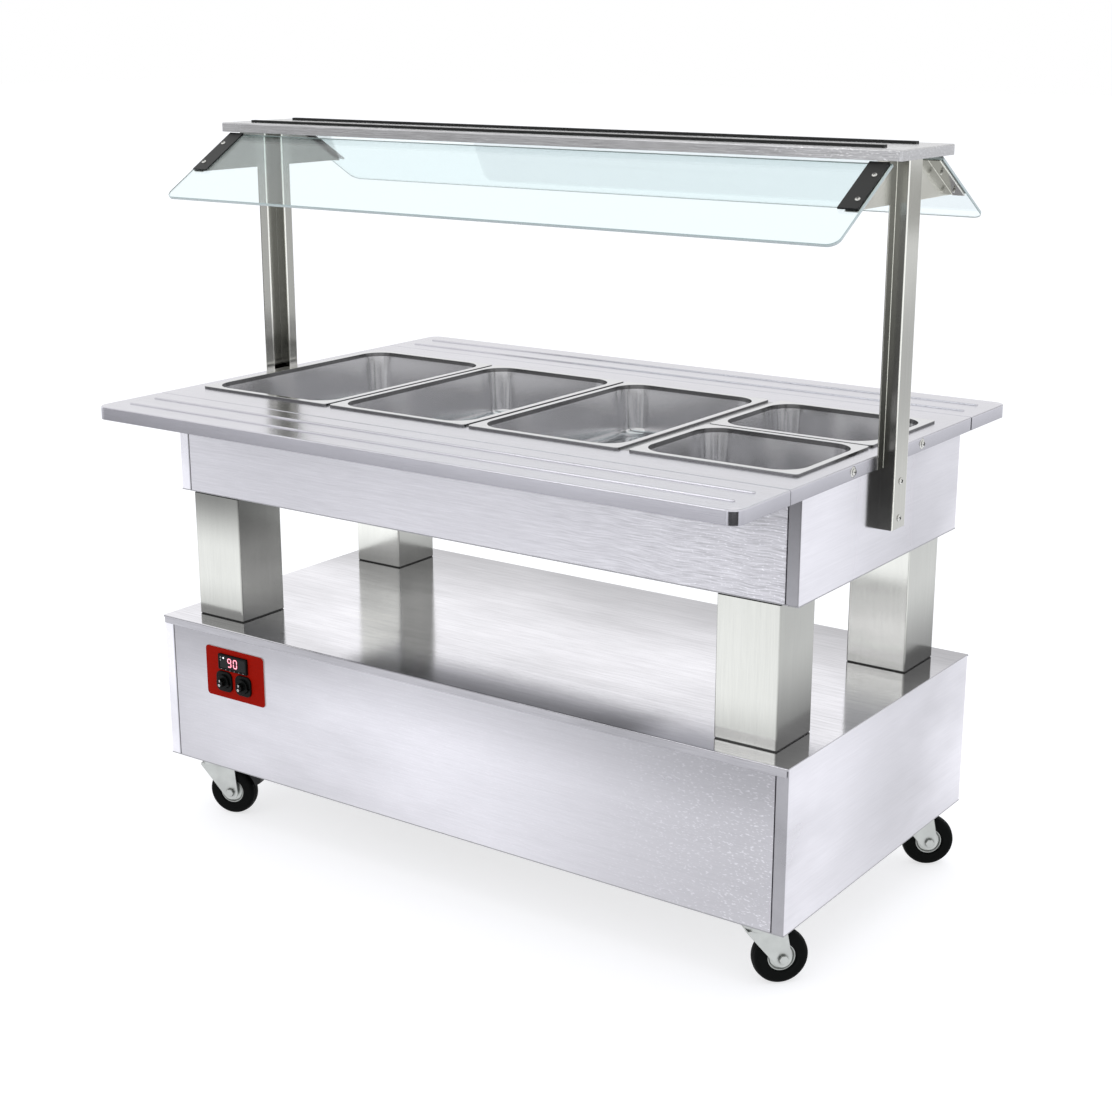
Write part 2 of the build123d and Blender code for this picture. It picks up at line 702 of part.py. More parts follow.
# Control plate on the front of the base. Local X runs right, Y up and Z out of the panel.
panel_face = Plane(origin=(plate_from_end - base_x, -base_y, deck_top - plate_drop),
                   x_dir=(1, 0, 0), z_dir=(0, -1, 0))
plate_face = panel_face.offset(plate_sheet)
display_up = plate_height / 2 - display_top_gap - display_height / 2
switch_up = display_up - display_height / 2 - switch_row_gap - switch_bezel / 2
switch_aside = (switch_bezel + switch_gap) / 2
display_at = Pos(display_shift, display_up)
switch_at = {"left": Pos(display_shift - switch_aside, switch_up),
             "right": Pos(display_shift + switch_aside, switch_up)}
body_width = display_width - 2 * display_body_inset
body_height = display_height - 2 * display_body_inset
cutouts = display_at * Rectangle(body_width + 2 * seat_gap, body_height + 2 * seat_gap)
for place in switch_at.values():
    cutouts += place * Circle(switch_barrel / 2 + seat_gap)
plate_shape = RectangleRounded(plate_width, plate_height, plate_corner) - cutouts
parts["control_plate"] = extrude(panel_face * plate_shape, plate_sheet)
parts["base_front_panel"] -= extrude(panel_face * cutouts, -sheet)


def bezel(shape, height):
    """A raised moulding on the plate with a softened outer edge."""
    solid = extrude(plate_face * shape, height)
    return fillet(solid.faces().sort_by(Axis.Y)[0].edges(), display_edge_round)


window = display_at * Rectangle(display_width - 2 * display_window_margin,
                                display_height - 2 * display_window_margin)
thermostat = bezel(display_at * RectangleRounded(display_width, display_height, bend_radius), display_bezel)
thermostat -= extrude(plate_face.offset(display_bezel) * window, -display_window_depth)
display_body = display_at * Rectangle(body_width, body_height)
parts["thermostat"] = thermostat + extrude(plate_face * display_body, -display_body_depth)

# Rotary switches: a bezel on a barrel, with a turning knob. Its skirt has a nib, and its grip is fluted.
nib = SlotOverall(knob_diameter / 2 + knob_nib_reach, knob_nib_width)
nib_at = Rot(0, 0, knob_nib_angle) * Pos((knob_diameter / 2 + knob_nib_reach) / 2, 0)
knob_shape = Circle(knob_diameter / 2) + nib_at * nib
flutes = PolarLocations(knob_grip / 2, knob_flutes) * Circle(knob_flute / 2)
grip_shape = Circle(knob_grip / 2) - flutes
switches = []
switch_front = plate_face.offset(switch_bezel_height)
knob_seat = switch_front.offset(knob_clearance)
for side, place in switch_at.items():
    switch = bezel(place * RectangleRounded(switch_bezel, switch_bezel, switch_bezel_corner),
                   switch_bezel_height)
    switch += extrude(plate_face * (place * Circle(switch_barrel / 2)), -switch_depth)
    switch -= extrude(switch_front * (place * Circle(knob_stem / 2 + knob_clearance)),
                      -knob_stem_length)
    switches.append(switch)
    knob = extrude(knob_seat * (place * knob_shape), knob_skirt)
    knob = fillet(knob.faces().sort_by(Axis.Y)[0].edges(), knob_skirt_round)
    grip = extrude(knob_seat.offset(knob_skirt) * (place * grip_shape), knob_grip_height)
    knob += fillet(grip.faces().sort_by(Axis.Y)[0].edges(), knob_grip_round)
    knob += extrude(knob_seat * (place * Circle(knob_stem / 2)), -knob_stem_length)
    parts["knob_" + side] = knob
parts["switch_bodies"] = Compound(children=switches)

# Cable gland low on the back of the base
gland_face = Plane(origin=(gland_from_end - base_x, base_y, base_bottom + gland_rise),
                   x_dir=(-1, 0, 0), z_dir=(0, 1, 0))
gland_nut = RegularPolygon(gland_hex / 2, 6)
gland = extrude(gland_face.offset(gland_hex_height) * Circle(gland_thread / 2), gland_dome_height)
gland = fillet(gland.faces().sort_by(Axis.Y)[-1].edges(), gland_dome_round)
gland += extrude(gland_face * gland_nut, gland_hex_height)
gland += extrude(gland_face * Circle(gland_thread / 2), -gland_inside)
gland += extrude(gland_face.offset(-sheet) * gland_nut, -gland_hex_height)
gland -= extrude(gland_face.offset(-gland_inside) * Circle(gland_bore / 2),
                 gland_inside + gland_hex_height + gland_dome_height)
parts["cable_gland"] = gland
parts["base_rear_panel"] -= extrude(gland_face * Circle(gland_thread / 2 + seat_gap), -sheet)

# Castors, made with the swivel axis on Z and the wheel trailing along X, then turned and put in place
axle_at = Pos(castor_trail, wheel_radius)
fork_inside = hub_length / 2 + fork_side_gap
fork_outside = fork_inside + fork_sheet
crown_x = race_diameter / 2
pivot_x = crown_x + brake_boss_gap + brake_boss
pivot_z = crown_bottom + brake_pivot_rise
pivot_at = Pos(pivot_x, pivot_z)
side_view = Plane(origin=(0, 0, 0), x_dir=(1, 0, 0), z_dir=(0, -1, 0))


def across(shape, half_width):
    """A solid of a side-view shape, centred on the wheel's plane."""
    return extrude(side_view.offset(half_width) * shape, -2 * half_width)


def both_sides(shape, inner, outer):
    """A side-view shape on both sides of the wheel, from one offset out to another."""
    one = extrude(side_view.offset(inner) * shape, outer - inner)
    return one + mirror(one, about=Plane.XZ)


def castor_plate():
    """Top plate with its bolts, the fixed race and the king pin."""
    plate = RectangleRounded(castor_plate_x, castor_plate_y, castor_plate_corner)
    body = Pos(0, 0, castor_plate_bottom) * extrude(plate, castor_plate_sheet)
    body += rod(boss_diameter, (0, 0, boss_bottom), (0, 0, castor_plate_bottom))
    head_top = crown_bottom - swivel_gap
    head_bottom = head_top - king_pin_head_height
    body += rod(king_pin, (0, 0, head_bottom), (0, 0, boss_bottom))
    body += rod(king_pin_head, (0, 0, head_bottom), (0, 0, head_top))
    bolt = extrude(RegularPolygon(castor_bolt_head / 2, 6), -castor_bolt_height)
    bolt_x = castor_plate_x / 2 - castor_bolt_inset
    bolt_y = castor_plate_y / 2 - castor_bolt_inset
    for x, y in corners(bolt_x, bolt_y).values():
        body += Pos(x, y, castor_plate_bottom) * bolt
    return body


def fork(braked):
    """Pressed fork: a crown with its race, two legs down to the axle, and ears for a brake's pin."""
    crown_edge = Pos((fork_back - crown_x) / 2, crown_bottom + crown_sheet / 2) * Rectangle(
        fork_back + crown_x, crown_sheet)
    leg_shape = crown_edge + axle_at * Circle(fork_end_radius)
    if braked:
        leg_shape += pivot_at * Circle(brake_boss)
    body = both_sides(make_hull(leg_shape.edges()), fork_inside, fork_outside)
    body += block(-crown_x, crown_x, -fork_outside, fork_outside, crown_bottom, crown_top)
    body += rod(race_diameter, (0, 0, crown_top), (0, 0, race_top))
    body -= rod(king_pin + 2 * swivel_gap, (0, 0, crown_bottom), (0, 0, race_top))
    body += across(axle_at * Circle(axle_diameter / 2), fork_outside)
    bolt_head = axle_at * RegularPolygon(axle_head / 2, 6)
    body += both_sides(bolt_head, fork_outside, fork_outside + axle_head_height)
    if braked:
        body += across(pivot_at * Circle(brake_pin / 2), fork_outside)
    return body


def wheel_solid(shape):
    """A solid of revolution about the axle, from a shape of radius by side offset."""
    plane = Plane(origin=(castor_trail, 0, wheel_radius), x_dir=(0, 0, 1), z_dir=(-1, 0, 0))
    return revolve(plane * shape, Axis((castor_trail, 0, wheel_radius), (0, 1, 0)))


def wheel_rim():
    """Pressed wheel disc: a hub tube, a dished web and a rolled edge under the tyre."""
    edge = rim_diameter / 2
    half = [(axle_diameter / 2 + axle_clearance, hub_length / 2), (hub_diameter / 2, hub_length / 2),
            (hub_diameter / 2, hub_web_width / 2), (edge - rim_dish, rim_web_width / 2),
            (edge - rim_edge, rim_edge_width / 2), (edge, rim_edge_width / 2)]
    other = [(radius, -aside) for radius, aside in reversed(half)]
    return wheel_solid(make_face(Polyline(*half, *other, close=True)))


def wheel_tyre():
    """Solid rubber tyre with rounded shoulders and a slightly crowned tread."""
    edge = rim_diameter / 2
    side = tyre_width / 2
    tread = tread_width / 2
    bead_side = rim_edge_width / 2
    wall_top = wheel_radius - tyre_shoulder
    tread_radius = wheel_radius - tread_crown
    half = Line((edge, bead_side), (edge + tyre_bead_inset, side))
    half += Line((edge + tyre_bead_inset, side), (wall_top, side))
    half += TangentArc((wall_top, side), (tread_radius, tread), tangent=(1, 0))
    crown = ThreePointArc((tread_radius, tread), (wheel_radius, 0), (tread_radius, -tread))
    inner = Line((edge, -bead_side), (edge, bead_side))
    return wheel_solid(make_face(half + crown + mirror(half, about=Plane.XZ) + inner))


def brake_pedal():
    """Pedal that turns on a pin in the fork's ears and presses on the tread behind the wheel."""
    shoe_radius = wheel_radius + brake_wheel_gap
    start, end = [radians(angle) for angle in brake_shoe_angles]
    shoe = [(castor_trail + shoe_radius * cos(angle), wheel_radius + shoe_radius * sin(angle))
            for angle in (start, (start + end) / 2, end)]
    tip_x = castor_trail + brake_reach
    tip_z = shoe[2][1] + brake_tip
    boss_top = pivot_z + brake_boss
    line = ThreePointArc(*shoe)
    line += Polyline(shoe[2], (tip_x, tip_z), (tip_x, tip_z + brake_tip),
                     (pivot_x + brake_shoulder, boss_top), (pivot_x, boss_top), (pivot_x, pivot_z), shoe[0])
    shape = make_face(line) + pivot_at * Circle(brake_boss)
    return across(shape - pivot_at * Circle(brake_pin / 2 + axle_clearance), brake_width / 2)


castor_plates = []
for place, (x, y) in corners(castor_x, castor_y).items():
    braked = place.endswith("left")
    turned = Pos(x, y, 0) * Rot(0, 0, castor_turns[place])
    castor_plates.append(Pos(x, y, 0) * castor_plate())
    parts["castor_fork_" + place] = turned * fork(braked)
    parts["castor_rim_" + place] = turned * wheel_rim()
    parts["castor_tyre_" + place] = turned * wheel_tyre()
    if braked:
        parts["brake_pedal_" + place] = turned * brake_pedal()
parts["castor_plates"] = Compound(children=castor_plates)

# One file for each piece
os.makedirs("parts", exist_ok=True)
for name, shape in parts.items():
    export_step(shape, f"parts/{name}.step")
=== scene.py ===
import math

import bmesh
import bpy
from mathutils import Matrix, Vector


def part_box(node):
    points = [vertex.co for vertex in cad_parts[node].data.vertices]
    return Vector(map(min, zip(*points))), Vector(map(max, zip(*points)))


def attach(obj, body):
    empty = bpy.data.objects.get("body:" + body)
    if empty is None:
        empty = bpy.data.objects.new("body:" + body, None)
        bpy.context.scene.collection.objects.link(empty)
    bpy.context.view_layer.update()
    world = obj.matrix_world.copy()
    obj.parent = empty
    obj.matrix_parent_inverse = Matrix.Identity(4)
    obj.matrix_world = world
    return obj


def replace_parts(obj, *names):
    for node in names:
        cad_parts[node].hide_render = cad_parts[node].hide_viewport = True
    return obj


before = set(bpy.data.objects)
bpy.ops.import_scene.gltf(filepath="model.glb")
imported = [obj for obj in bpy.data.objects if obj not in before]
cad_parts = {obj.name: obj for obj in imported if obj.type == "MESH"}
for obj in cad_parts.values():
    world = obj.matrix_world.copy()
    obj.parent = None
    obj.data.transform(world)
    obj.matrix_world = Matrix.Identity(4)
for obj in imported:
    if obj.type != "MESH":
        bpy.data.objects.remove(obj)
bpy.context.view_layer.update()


# Base cabinet: four panels of 1.5 mm stainless sheet, folded at their edges and closed by a floor sheet.
# The sheet comes brushed along its length, and each panel is cut so that the brushing runs level.
# It has a soft sheen, drawn out across the brushing, and the long panels have flecks at the right end.
def linear(colour):
    """An sRGB hex colour as linear red, green, blue and alpha."""
    parts = [int(colour[i:i + 2], 16) / 255 for i in (1, 3, 5)]
    return [c / 12.92 if c <= 0.04045 else ((c + 0.055) / 1.055) ** 2.4 for c in parts] + [1.0]


def node(tree, kind, inputs=None, **settings):
    """Adds a node with its settings. An input takes a value, a socket, or another node for its first output."""
    made = tree.nodes.new(kind)
    for key, value in settings.items():
        setattr(made, key, value)
    for key, value in (inputs or {}).items():
        if isinstance(value, bpy.types.Node):
            value = value.outputs[0]
        if isinstance(value, bpy.types.NodeSocket):
            tree.links.new(value, made.inputs[key])
        else:
            made.inputs[key].default_value = value
    return made


def new_finish(name):
    """A material with its one shader, its tree, and the place of each point on the piece."""
    material = bpy.data.materials.new(name)
    material.use_nodes = True
    tree = material.node_tree
    return material, tree, tree.nodes["Principled BSDF"], node(tree, "ShaderNodeTexCoord")


def lay_on(tree, shader, **sockets):
    """Links nodes to the shader's sockets or sets what is the same all over. Their names have _ for a space."""
    for key, value in sockets.items():
        socket = shader.inputs[key.replace("_", " ")]
        if isinstance(value, bpy.types.Node):
            tree.links.new(value.outputs[0], socket)
        else:
            socket.default_value = value


def grain(tree, spot, sizes, detail, uneven=0.5):
    """A pattern whose grains have these three sizes, in metres."""
    spot = node(tree, "ShaderNodeMapping", {"Vector": spot, "Scale": [1 / size for size in sizes]})
    return node(tree, "ShaderNodeTexNoise", {"Vector": spot, "Scale": 1.0, "Detail": detail, "Roughness": uneven})


def brushed(name, colour, run, roughness, scratch=0.04, streak=0.02, cloud=0.05, spread=0.6, flecks=0.0, lip=1.0,
            band=None, zones=None):
    """Stainless steel rubbed with a belt along one axis: fine scratches, longer streaks, and soft broad
    zones where the belt bore harder. Real scratches are under 0.1 mm wide; they are drawn 1.5 mm wide, so
    that they show at this distance. Upright faces of a folded lip get painted shade, lip times as bright.
    The band is a painted highlight, one broad brighter zone: the axis across it, its middle, its pitch and
    how much it adds. Zones is a function that gives two more factors: of tone, for painted light and shade
    and for marks, and of roughness, for places finished apart."""
    material, tree, shader, where = new_finish(name)
    spot = where.outputs["Object"]
    place = node(tree, "ShaderNodeSeparateXYZ", {0: spot}).outputs
    facing = node(tree, "ShaderNodeSeparateXYZ", {0: where.outputs["Normal"]}).outputs
    # Painted shade: the upright faces of folded lips are drawn lip times as bright as the tops.
    factors = [node(tree, "ShaderNodeMapRange", {"Value": facing["Z"], "From Min": 0.2, "From Max": 0.9,
                                                 "To Min": lip, "To Max": 1.0})]
    grains = []
    for length, width, swing in ((0.05, 0.0015, scratch), (0.6, 0.006, streak), (0.5, 0.22, cloud)):
        sizes = [length if axis == run else width for axis in "xyz"]
        grains.append(grain(tree, spot, sizes, 3.0, 0.6))
        factors.append(node(tree, "ShaderNodeMapRange", {"Value": grains[-1], "From Min": 0.3, "From Max": 0.7,
                                                         "To Min": 1 - swing, "To Max": 1 + swing}))
    scratches, clouds = grains[0], grains[2]
    # A painted highlight: one broad brighter band across the sheet, made a little wavy by the clouds.
    if band:
        across, middle, pitch, swing = band
        turns = 2 * math.pi / pitch
        start = -(middle + pitch * 0.15) * turns
        wavy = node(tree, "ShaderNodeMath", {0: clouds, 1: pitch * 0.3, 2: place[across]},
                    operation="MULTIPLY_ADD")
        angle = node(tree, "ShaderNodeMath", {0: wavy, 1: turns, 2: start}, operation="MULTIPLY_ADD")
        crest = node(tree, "ShaderNodeMath", {0: angle}, operation="COSINE")
        factors.append(node(tree, "ShaderNodeMath", {0: crest, 1: swing, 2: 1.0}, operation="MULTIPLY_ADD"))
    if flecks:
        fleck = grain(tree, spot, [0.007 if axis == run else 0.0025 for axis in "xyz"], 1.0)
        most = node(tree, "ShaderNodeMapRange", {"Value": place["X"], "From Min": 0.35, "From Max": 0.68,
                                                 "To Min": 1.0 + flecks * 0.1, "To Max": 1.0 + flecks})
        factors.append(node(tree, "ShaderNodeMapRange", {"Value": fleck, "From Min": 0.6, "From Max": 0.7,
                                                         "To Min": 1.0, "To Max": most}))
    dull = node(tree, "ShaderNodeMapRange", {"Value": clouds, "From Min": 0.3, "From Max": 0.7,
                                             "To Min": roughness * 0.85, "To Max": roughness * 1.15})
    if zones:
        zone_tone, zone_dull = zones(tree, place, facing)
        factors.append(zone_tone)
        dull = node(tree, "ShaderNodeMath", {0: dull, 1: zone_dull}, operation="MULTIPLY")
    tone = factors[0]
    for factor in factors[1:]:
        tone = node(tree, "ShaderNodeMath", {0: tone, 1: factor}, operation="MULTIPLY")
    tint = node(tree, "ShaderNodeHueSaturation", {"Color": linear(colour), "Value": tone})
    eased = node(tree, "ShaderNodeBevel", {"Radius": 0.0012}, samples=4)
    relief = node(tree, "ShaderNodeBump", {"Strength": min(0.25, scratch * 4), "Distance": 0.0002,
                                           "Height": scratches, "Normal": eased})
    along = node(tree, "ShaderNodeCombineXYZ", {i: 1.0 if axis == run else 0.01 * (i + 1)
                                                for i, axis in enumerate("xyz")})
    lay_on(tree, shader, Base_Color=tint, Roughness=dull, Normal=relief, Tangent=along, Metallic=1.0,
           Anisotropic=spread, Anisotropic_Rotation=0.25)
    return material


def dress(material, *names):
    """Gives CAD nodes a material."""
    for name in names:
        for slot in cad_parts[name].material_slots:
            slot.material = material


smooth = {"interpolation_type": "SMOOTHSTEP"}


def end_strips(tree, place, facing):
    """The end panels' edges, folded round to the front and back, get painted light and shade: brighter at the
    left, darker at the right and darker still towards the top there. Their sawn edges, which stand in the narrow
    gaps to the long panels, are painted dark, as shade in the gaps. The panels are polished where the uprights'
    feet are fixed."""
    out, aside, end_on, side_on = (node(tree, "ShaderNodeMath", {0: value}, operation="ABSOLUTE")
                                   for value in (place["X"], place["Y"], facing["X"], facing["Y"]))
    right = node(tree, "ShaderNodeMapRange", {"Value": place["Z"], "From Min": 0.66, "From Max": 0.86,
                                              "To Min": 0.52, "To Max": 0.26})
    end = node(tree, "ShaderNodeMapRange", {"Value": place["X"], "From Min": -0.1, "From Max": 0.1,
                                            "To Min": 1.12, "To Max": right})
    tone = node(tree, "ShaderNodeMapRange", {"Value": side_on, "From Min": 0.4, "From Max": 0.8,
                                             "To Min": 1.0, "To Max": end})
    outer = node(tree, "ShaderNodeMapRange", {"Value": place["Z"], "From Min": 0.5, "From Max": 0.6,
                                              "To Min": 0.712, "To Max": 0.692})
    inside = node(tree, "ShaderNodeMath", {0: out, 1: outer}, operation="LESS_THAN")
    sawn = node(tree, "ShaderNodeMath", {0: inside, 1: end_on}, operation="MULTIPLY")
    tone = node(tree, "ShaderNodeMapRange", {"Value": sawn, "To Min": tone, "To Max": 0.3})
    dull = node(tree, "ShaderNodeMapRange", {"Value": aside, "From Min": 0.06, "From Max": 0.12,
                                             "To Min": 0.45, "To Max": 1.0}, **smooth)
    casing = node(tree, "ShaderNodeMath", {0: place["Z"], 1: 0.6}, operation="GREATER_THAN")
    return tone, node(tree, "ShaderNodeMapRange", {"Value": casing, "To Min": 1.0, "To Max": dull})


def under_the_deck(tree, place, facing):
    """The front and back panels get painted shade along the top, where the deck's fold covers them."""
    tone = node(tree, "ShaderNodeMapRange", {"Value": place["Z"], "From Min": 0.29, "From Max": 0.42,
                                             "To Min": 1.0, "To Max": 0.74}, **smooth)
    return tone, 1.0


# Both kinds carry a painted highlight band; the long ones get painted shade along the top, the end ones on their
# edges.
long_panels = brushed("brushed_stainless_long_panels", "#D4D3D8", "x", 0.32, cloud=0.1, flecks=0.35,
                      band=("X", -0.04, 1.4, 0.19), zones=under_the_deck)
end_panels = brushed("brushed_stainless_end_panels", "#D2D1D6", "y", 0.3, scratch=0.03, cloud=0.14,
                     band=("Y", -0.3, 0.85, 0.16), zones=end_strips)
dress(long_panels, "base_front_panel", "base_rear_panel")
dress(end_panels, "base_left_panel", "base_right_panel")

# Floor sheet and castor channels: the underside, in sheet as the mill rolled it. A dull pickled
# surface with faint rolling lines; the channels are welded to the floor sheet.
mill_sheet = brushed("mill_finish_stainless", "#A9A9AC", "y", 0.42, spread=0.3)
dress(mill_sheet, "base_floor", "castor_channels")


# Deck: one stainless sheet folded down at the front and back, ground finely enough to mirror the legs.
# It is laid on the end panels, and its folds cover the tops of the long ones.
def deck_shades(tree, place, facing):
    """Painted light and shade: brightest along the middle, darker between the legs towards the front fold, and
    less so towards the back. The folds are painted darker too."""
    aside = node(tree, "ShaderNodeMath", {0: place["X"], 1: 0.11}, operation="SUBTRACT")
    aside = node(tree, "ShaderNodeMath", {0: aside}, operation="ABSOLUTE")
    least = node(tree, "ShaderNodeMapRange", {"Value": aside, "From Min": 0.28, "From Max": 0.38,
                                              "To Min": 0.43, "To Max": 1.1}, **smooth)
    front = node(tree, "ShaderNodeMapRange", {"Value": place["Y"], "From Min": -0.357, "From Max": -0.2,
                                              "To Min": least, "To Max": 1.2}, **smooth)
    tone = node(tree, "ShaderNodeMapRange", {"Value": place["Y"], "From Min": 0.0, "From Max": 0.34,
                                             "To Min": front, "To Max": 0.68}, **smooth)
    return node(tree, "ShaderNodeMapRange", {"Value": facing["Z"], "From Min": 0.3, "From Max": 0.9,
                                             "To Min": 0.6, "To Max": tone}), 1.0


deck_sheet = brushed("fine_ground_deck_stainless", "#D9D8DD", "x", 0.08, scratch=0.1, streak=0.06, cloud=0.16,
                     spread=0.85, zones=deck_shades)
dress(deck_sheet, "base_deck")


# Legs: square stainless tubes, ground to a soft mirror. Each stands on plates let into its ends, which leave
# a narrow shadow line at the deck and under the well; the ends are painted dark to deepen it.
def leg_shades(tree, place, facing):
    """Painted light and shade: darker towards the top, most at the front left, and towards the foot, most on the
    right legs' sides; sides darker than fronts, and rear legs brighter. The ends are painted dark, as the shadow
    line."""
    leg_middle, tube_half = 0.558, 0.1254
    sideways = node(tree, "ShaderNodeMath", {0: facing["X"]}, operation="ABSOLUTE")
    least = node(tree, "ShaderNodeMapRange", {"Value": place["X"], "From Min": -0.6, "From Max": 0.5,
                                              "To Min": 0.3, "To Max": 0.95})
    least = node(tree, "ShaderNodeMapRange", {"Value": place["Y"], "From Min": -0.2, "From Max": 0.2,
                                              "To Min": least, "To Max": 0.95})
    tone = node(tree, "ShaderNodeMapRange", {"Value": place["Z"], "From Min": 0.57, "From Max": 0.69,
                                             "To Min": 1.0, "To Max": least}, **smooth)
    right = node(tree, "ShaderNodeMath", {0: place["X"], 1: 0.0}, operation="GREATER_THAN")
    sunk = node(tree, "ShaderNodeMath", {0: sideways, 1: right}, operation="MULTIPLY")
    least = node(tree, "ShaderNodeMapRange", {"Value": sunk, "To Min": 0.7, "To Max": 0.32})
    reach = node(tree, "ShaderNodeMapRange", {"Value": sunk, "To Min": 0.52, "To Max": 0.61})
    foot = node(tree, "ShaderNodeMapRange", {"Value": place["Z"], "From Min": 0.43, "From Max": reach,
                                             "To Min": least, "To Max": 1.0}, **smooth)
    side = node(tree, "ShaderNodeMapRange", {"Value": right, "To Min": 0.52, "To Max": 0.6})
    side = node(tree, "ShaderNodeMapRange", {"Value": sideways, "To Min": 1.0, "To Max": side})
    rear = node(tree, "ShaderNodeMapRange", {"Value": place["Y"], "From Min": -0.1, "From Max": 0.1,
                                             "To Min": 1.0, "To Max": 1.2})
    for factor in (foot, side, rear):
        tone = node(tree, "ShaderNodeMath", {0: tone, 1: factor}, operation="MULTIPLY")
    tube = node(tree, "ShaderNodeMath", {0: place["Z"], 1: leg_middle, 2: tube_half}, operation="COMPARE")
    return node(tree, "ShaderNodeMapRange", {"Value": tube, "To Min": 0.1, "To Max": tone}), 1.0


leg_tube = brushed("ground_stainless_tube", "#DADBD5", "z", 0.17, scratch=0.03, cloud=0.06, zones=leg_shades)
corners = ("front_left", "front_right", "rear_left", "rear_right")
dress(leg_tube, *("leg_" + corner for corner in corners))


# Castors: pressed forks and wheel discs of zinc-plated steel, under a top plate bolted to a channel.
# Passivated zinc is a pale grey with a soft film; round the axle's nuts and in the folds it gets painted shade.
def grime(tree, reach):
    """A factor of painted shade, which darkens the places shut in by near faces."""
    shut_in = node(tree, "ShaderNodeAmbientOcclusion", {"Distance": reach}, samples=8)
    return node(tree, "ShaderNodeMapRange", {"Value": shut_in.outputs["AO"], "From Min": 0.35, "From Max": 0.9,
                                             "To Min": 0.12, "To Max": 1.0})


def mottled(name, colour, patch, tones, detail=3.0, uneven=0.5, span=(0.0, 1.0), dull=None, relief=None, eased=0.0,
            soiled=0.0, **fixed):
    """A finish whose tone wanders over soft patches of one size, in metres, or of three. Dull is the roughness
    from patch to patch, relief the patches' strength and height, eased the radius of the edges, and the reach
    that follows how near faces must stand to get painted shade between them."""
    material, tree, shader, where = new_finish(name)
    sizes = patch if isinstance(patch, tuple) else (patch, patch, patch)
    patches = grain(tree, where.outputs["Object"], sizes, detail, uneven)
    tone = node(tree, "ShaderNodeMapRange", {"Value": patches, "From Min": span[0], "From Max": span[1],
                                             "To Min": tones[0], "To Max": tones[1]})
    if soiled:
        tone = node(tree, "ShaderNodeMath", {0: tone, 1: grime(tree, soiled)}, operation="MULTIPLY")
    tint = node(tree, "ShaderNodeHueSaturation", {"Color": linear(colour), "Value": tone})
    lay_on(tree, shader, Base_Color=tint, **fixed)
    if dull:
        lay_on(tree, shader, Roughness=node(tree, "ShaderNodeMapRange", {
            "Value": patches, "To Min": dull[0], "To Max": dull[1]}))
    if relief:
        bump = node(tree, "ShaderNodeBump", {"Strength": relief[0], "Distance": relief[1], "Height": patches})
        if eased:
            edges = node(tree, "ShaderNodeBevel", {"Radius": eased}, samples=4)
            tree.links.new(edges.outputs[0], bump.inputs["Normal"])
        lay_on(tree, shader, Normal=bump)
    return material


# The zinc gets painted shade where near faces shut places in.
zinc = mottled("passivated_zinc", "#C4C7C4", 0.025, (0.9, 1.06), span=(0.3, 0.7), dull=(0.26, 0.4),
               relief=(0.05, 0.0002), eased=0.0012, soiled=0.006, Metallic=1.0)
dress(zinc, "castor_plates", *(part + corner for corner in corners for part in ("castor_fork_", "castor_rim_")))

# Tyres: rings of black rubber, moulded on the wheel discs. The rubber is dull, with a fine bloom.
# Its pores are drawn 1.5 mm wide, coarser than they are, so that they show.
rubber = mottled("moulded_black_rubber", "#0B0D0C", 0.012, (0.7, 1.5), detail=6.0, uneven=0.7, span=(0.35, 0.7),
                 dull=(0.5, 0.7), Specular_IOR_Level=0.07)
tree = rubber.node_tree
pore = 0.0015
pores = grain(tree, node(tree, "ShaderNodeTexCoord").outputs["Object"], (pore, pore, pore), 2.0)
relief = node(tree, "ShaderNodeBump", {"Strength": 0.15, "Distance": 0.0003, "Height": pores})
lay_on(tree, tree.nodes["Principled BSDF"], Normal=relief)
dress(rubber, *("castor_tyre_" + corner for corner in corners))

# Brake pedals: steel pressings, pivoted on the forks of the left castors and dipped in black enamel.
# The enamel has a slight orange peel of 4 mm and rounds the edges.
enamel = mottled("black_enamel", "#0E100F", 0.004, (0.8, 1.3), detail=2.0, relief=(0.1, 0.0003), eased=0.001,
                 Roughness=0.36, Specular_IOR_Level=0.3)
dress(enamel, "brake_pedal_front_left", "brake_pedal_rear_left")


# Well casing: folded panels like those of the base, closed by a floor sheet that stands on the legs.
# Its long sides come from the same sheet, and the belt that rubbed them bit deeper towards the right end.
def belt_marks(tree, place, facing):
    """Coarse marks of the belt, some 5 cm long and 2.5 mm apart, strongest at the right end. Along the top the
    panels get painted shadow, under the counter's lip."""
    spot = node(tree, "ShaderNodeTexCoord").outputs["Object"]
    swell = node(tree, "ShaderNodeTexNoise", {"Vector": spot, "Scale": 1 / 0.15})
    lift = node(tree, "ShaderNodeVectorMath", {0: swell.outputs["Color"], 1: (0.0, 0.0, 0.03), 2: spot},
                operation="MULTIPLY_ADD")
    marks = grain(tree, lift, (0.05, 0.0025, 0.0025), 2.0)
    most = node(tree, "ShaderNodeMapRange", {"Value": place["X"], "From Min": 0.0, "From Max": 0.7,
                                             "To Min": 0.04, "To Max": 0.3}, **smooth)
    depth = node(tree, "ShaderNodeMapRange", {"Value": marks, "From Min": 0.3, "From Max": 0.7,
                                              "To Min": -1.0, "To Max": 0.7})
    tone = node(tree, "ShaderNodeMath", {0: depth, 1: most, 2: 1.0}, operation="MULTIPLY_ADD")
    # Painted shadow under the counter's lip.
    under = node(tree, "ShaderNodeMapRange", {"Value": place["Z"], "From Min": 0.79, "From Max": 0.865,
                                              "To Min": 1.0, "To Max": 0.74}, **smooth)
    return node(tree, "ShaderNodeMath", {0: tone, 1: under}, operation="MULTIPLY"), 1.0


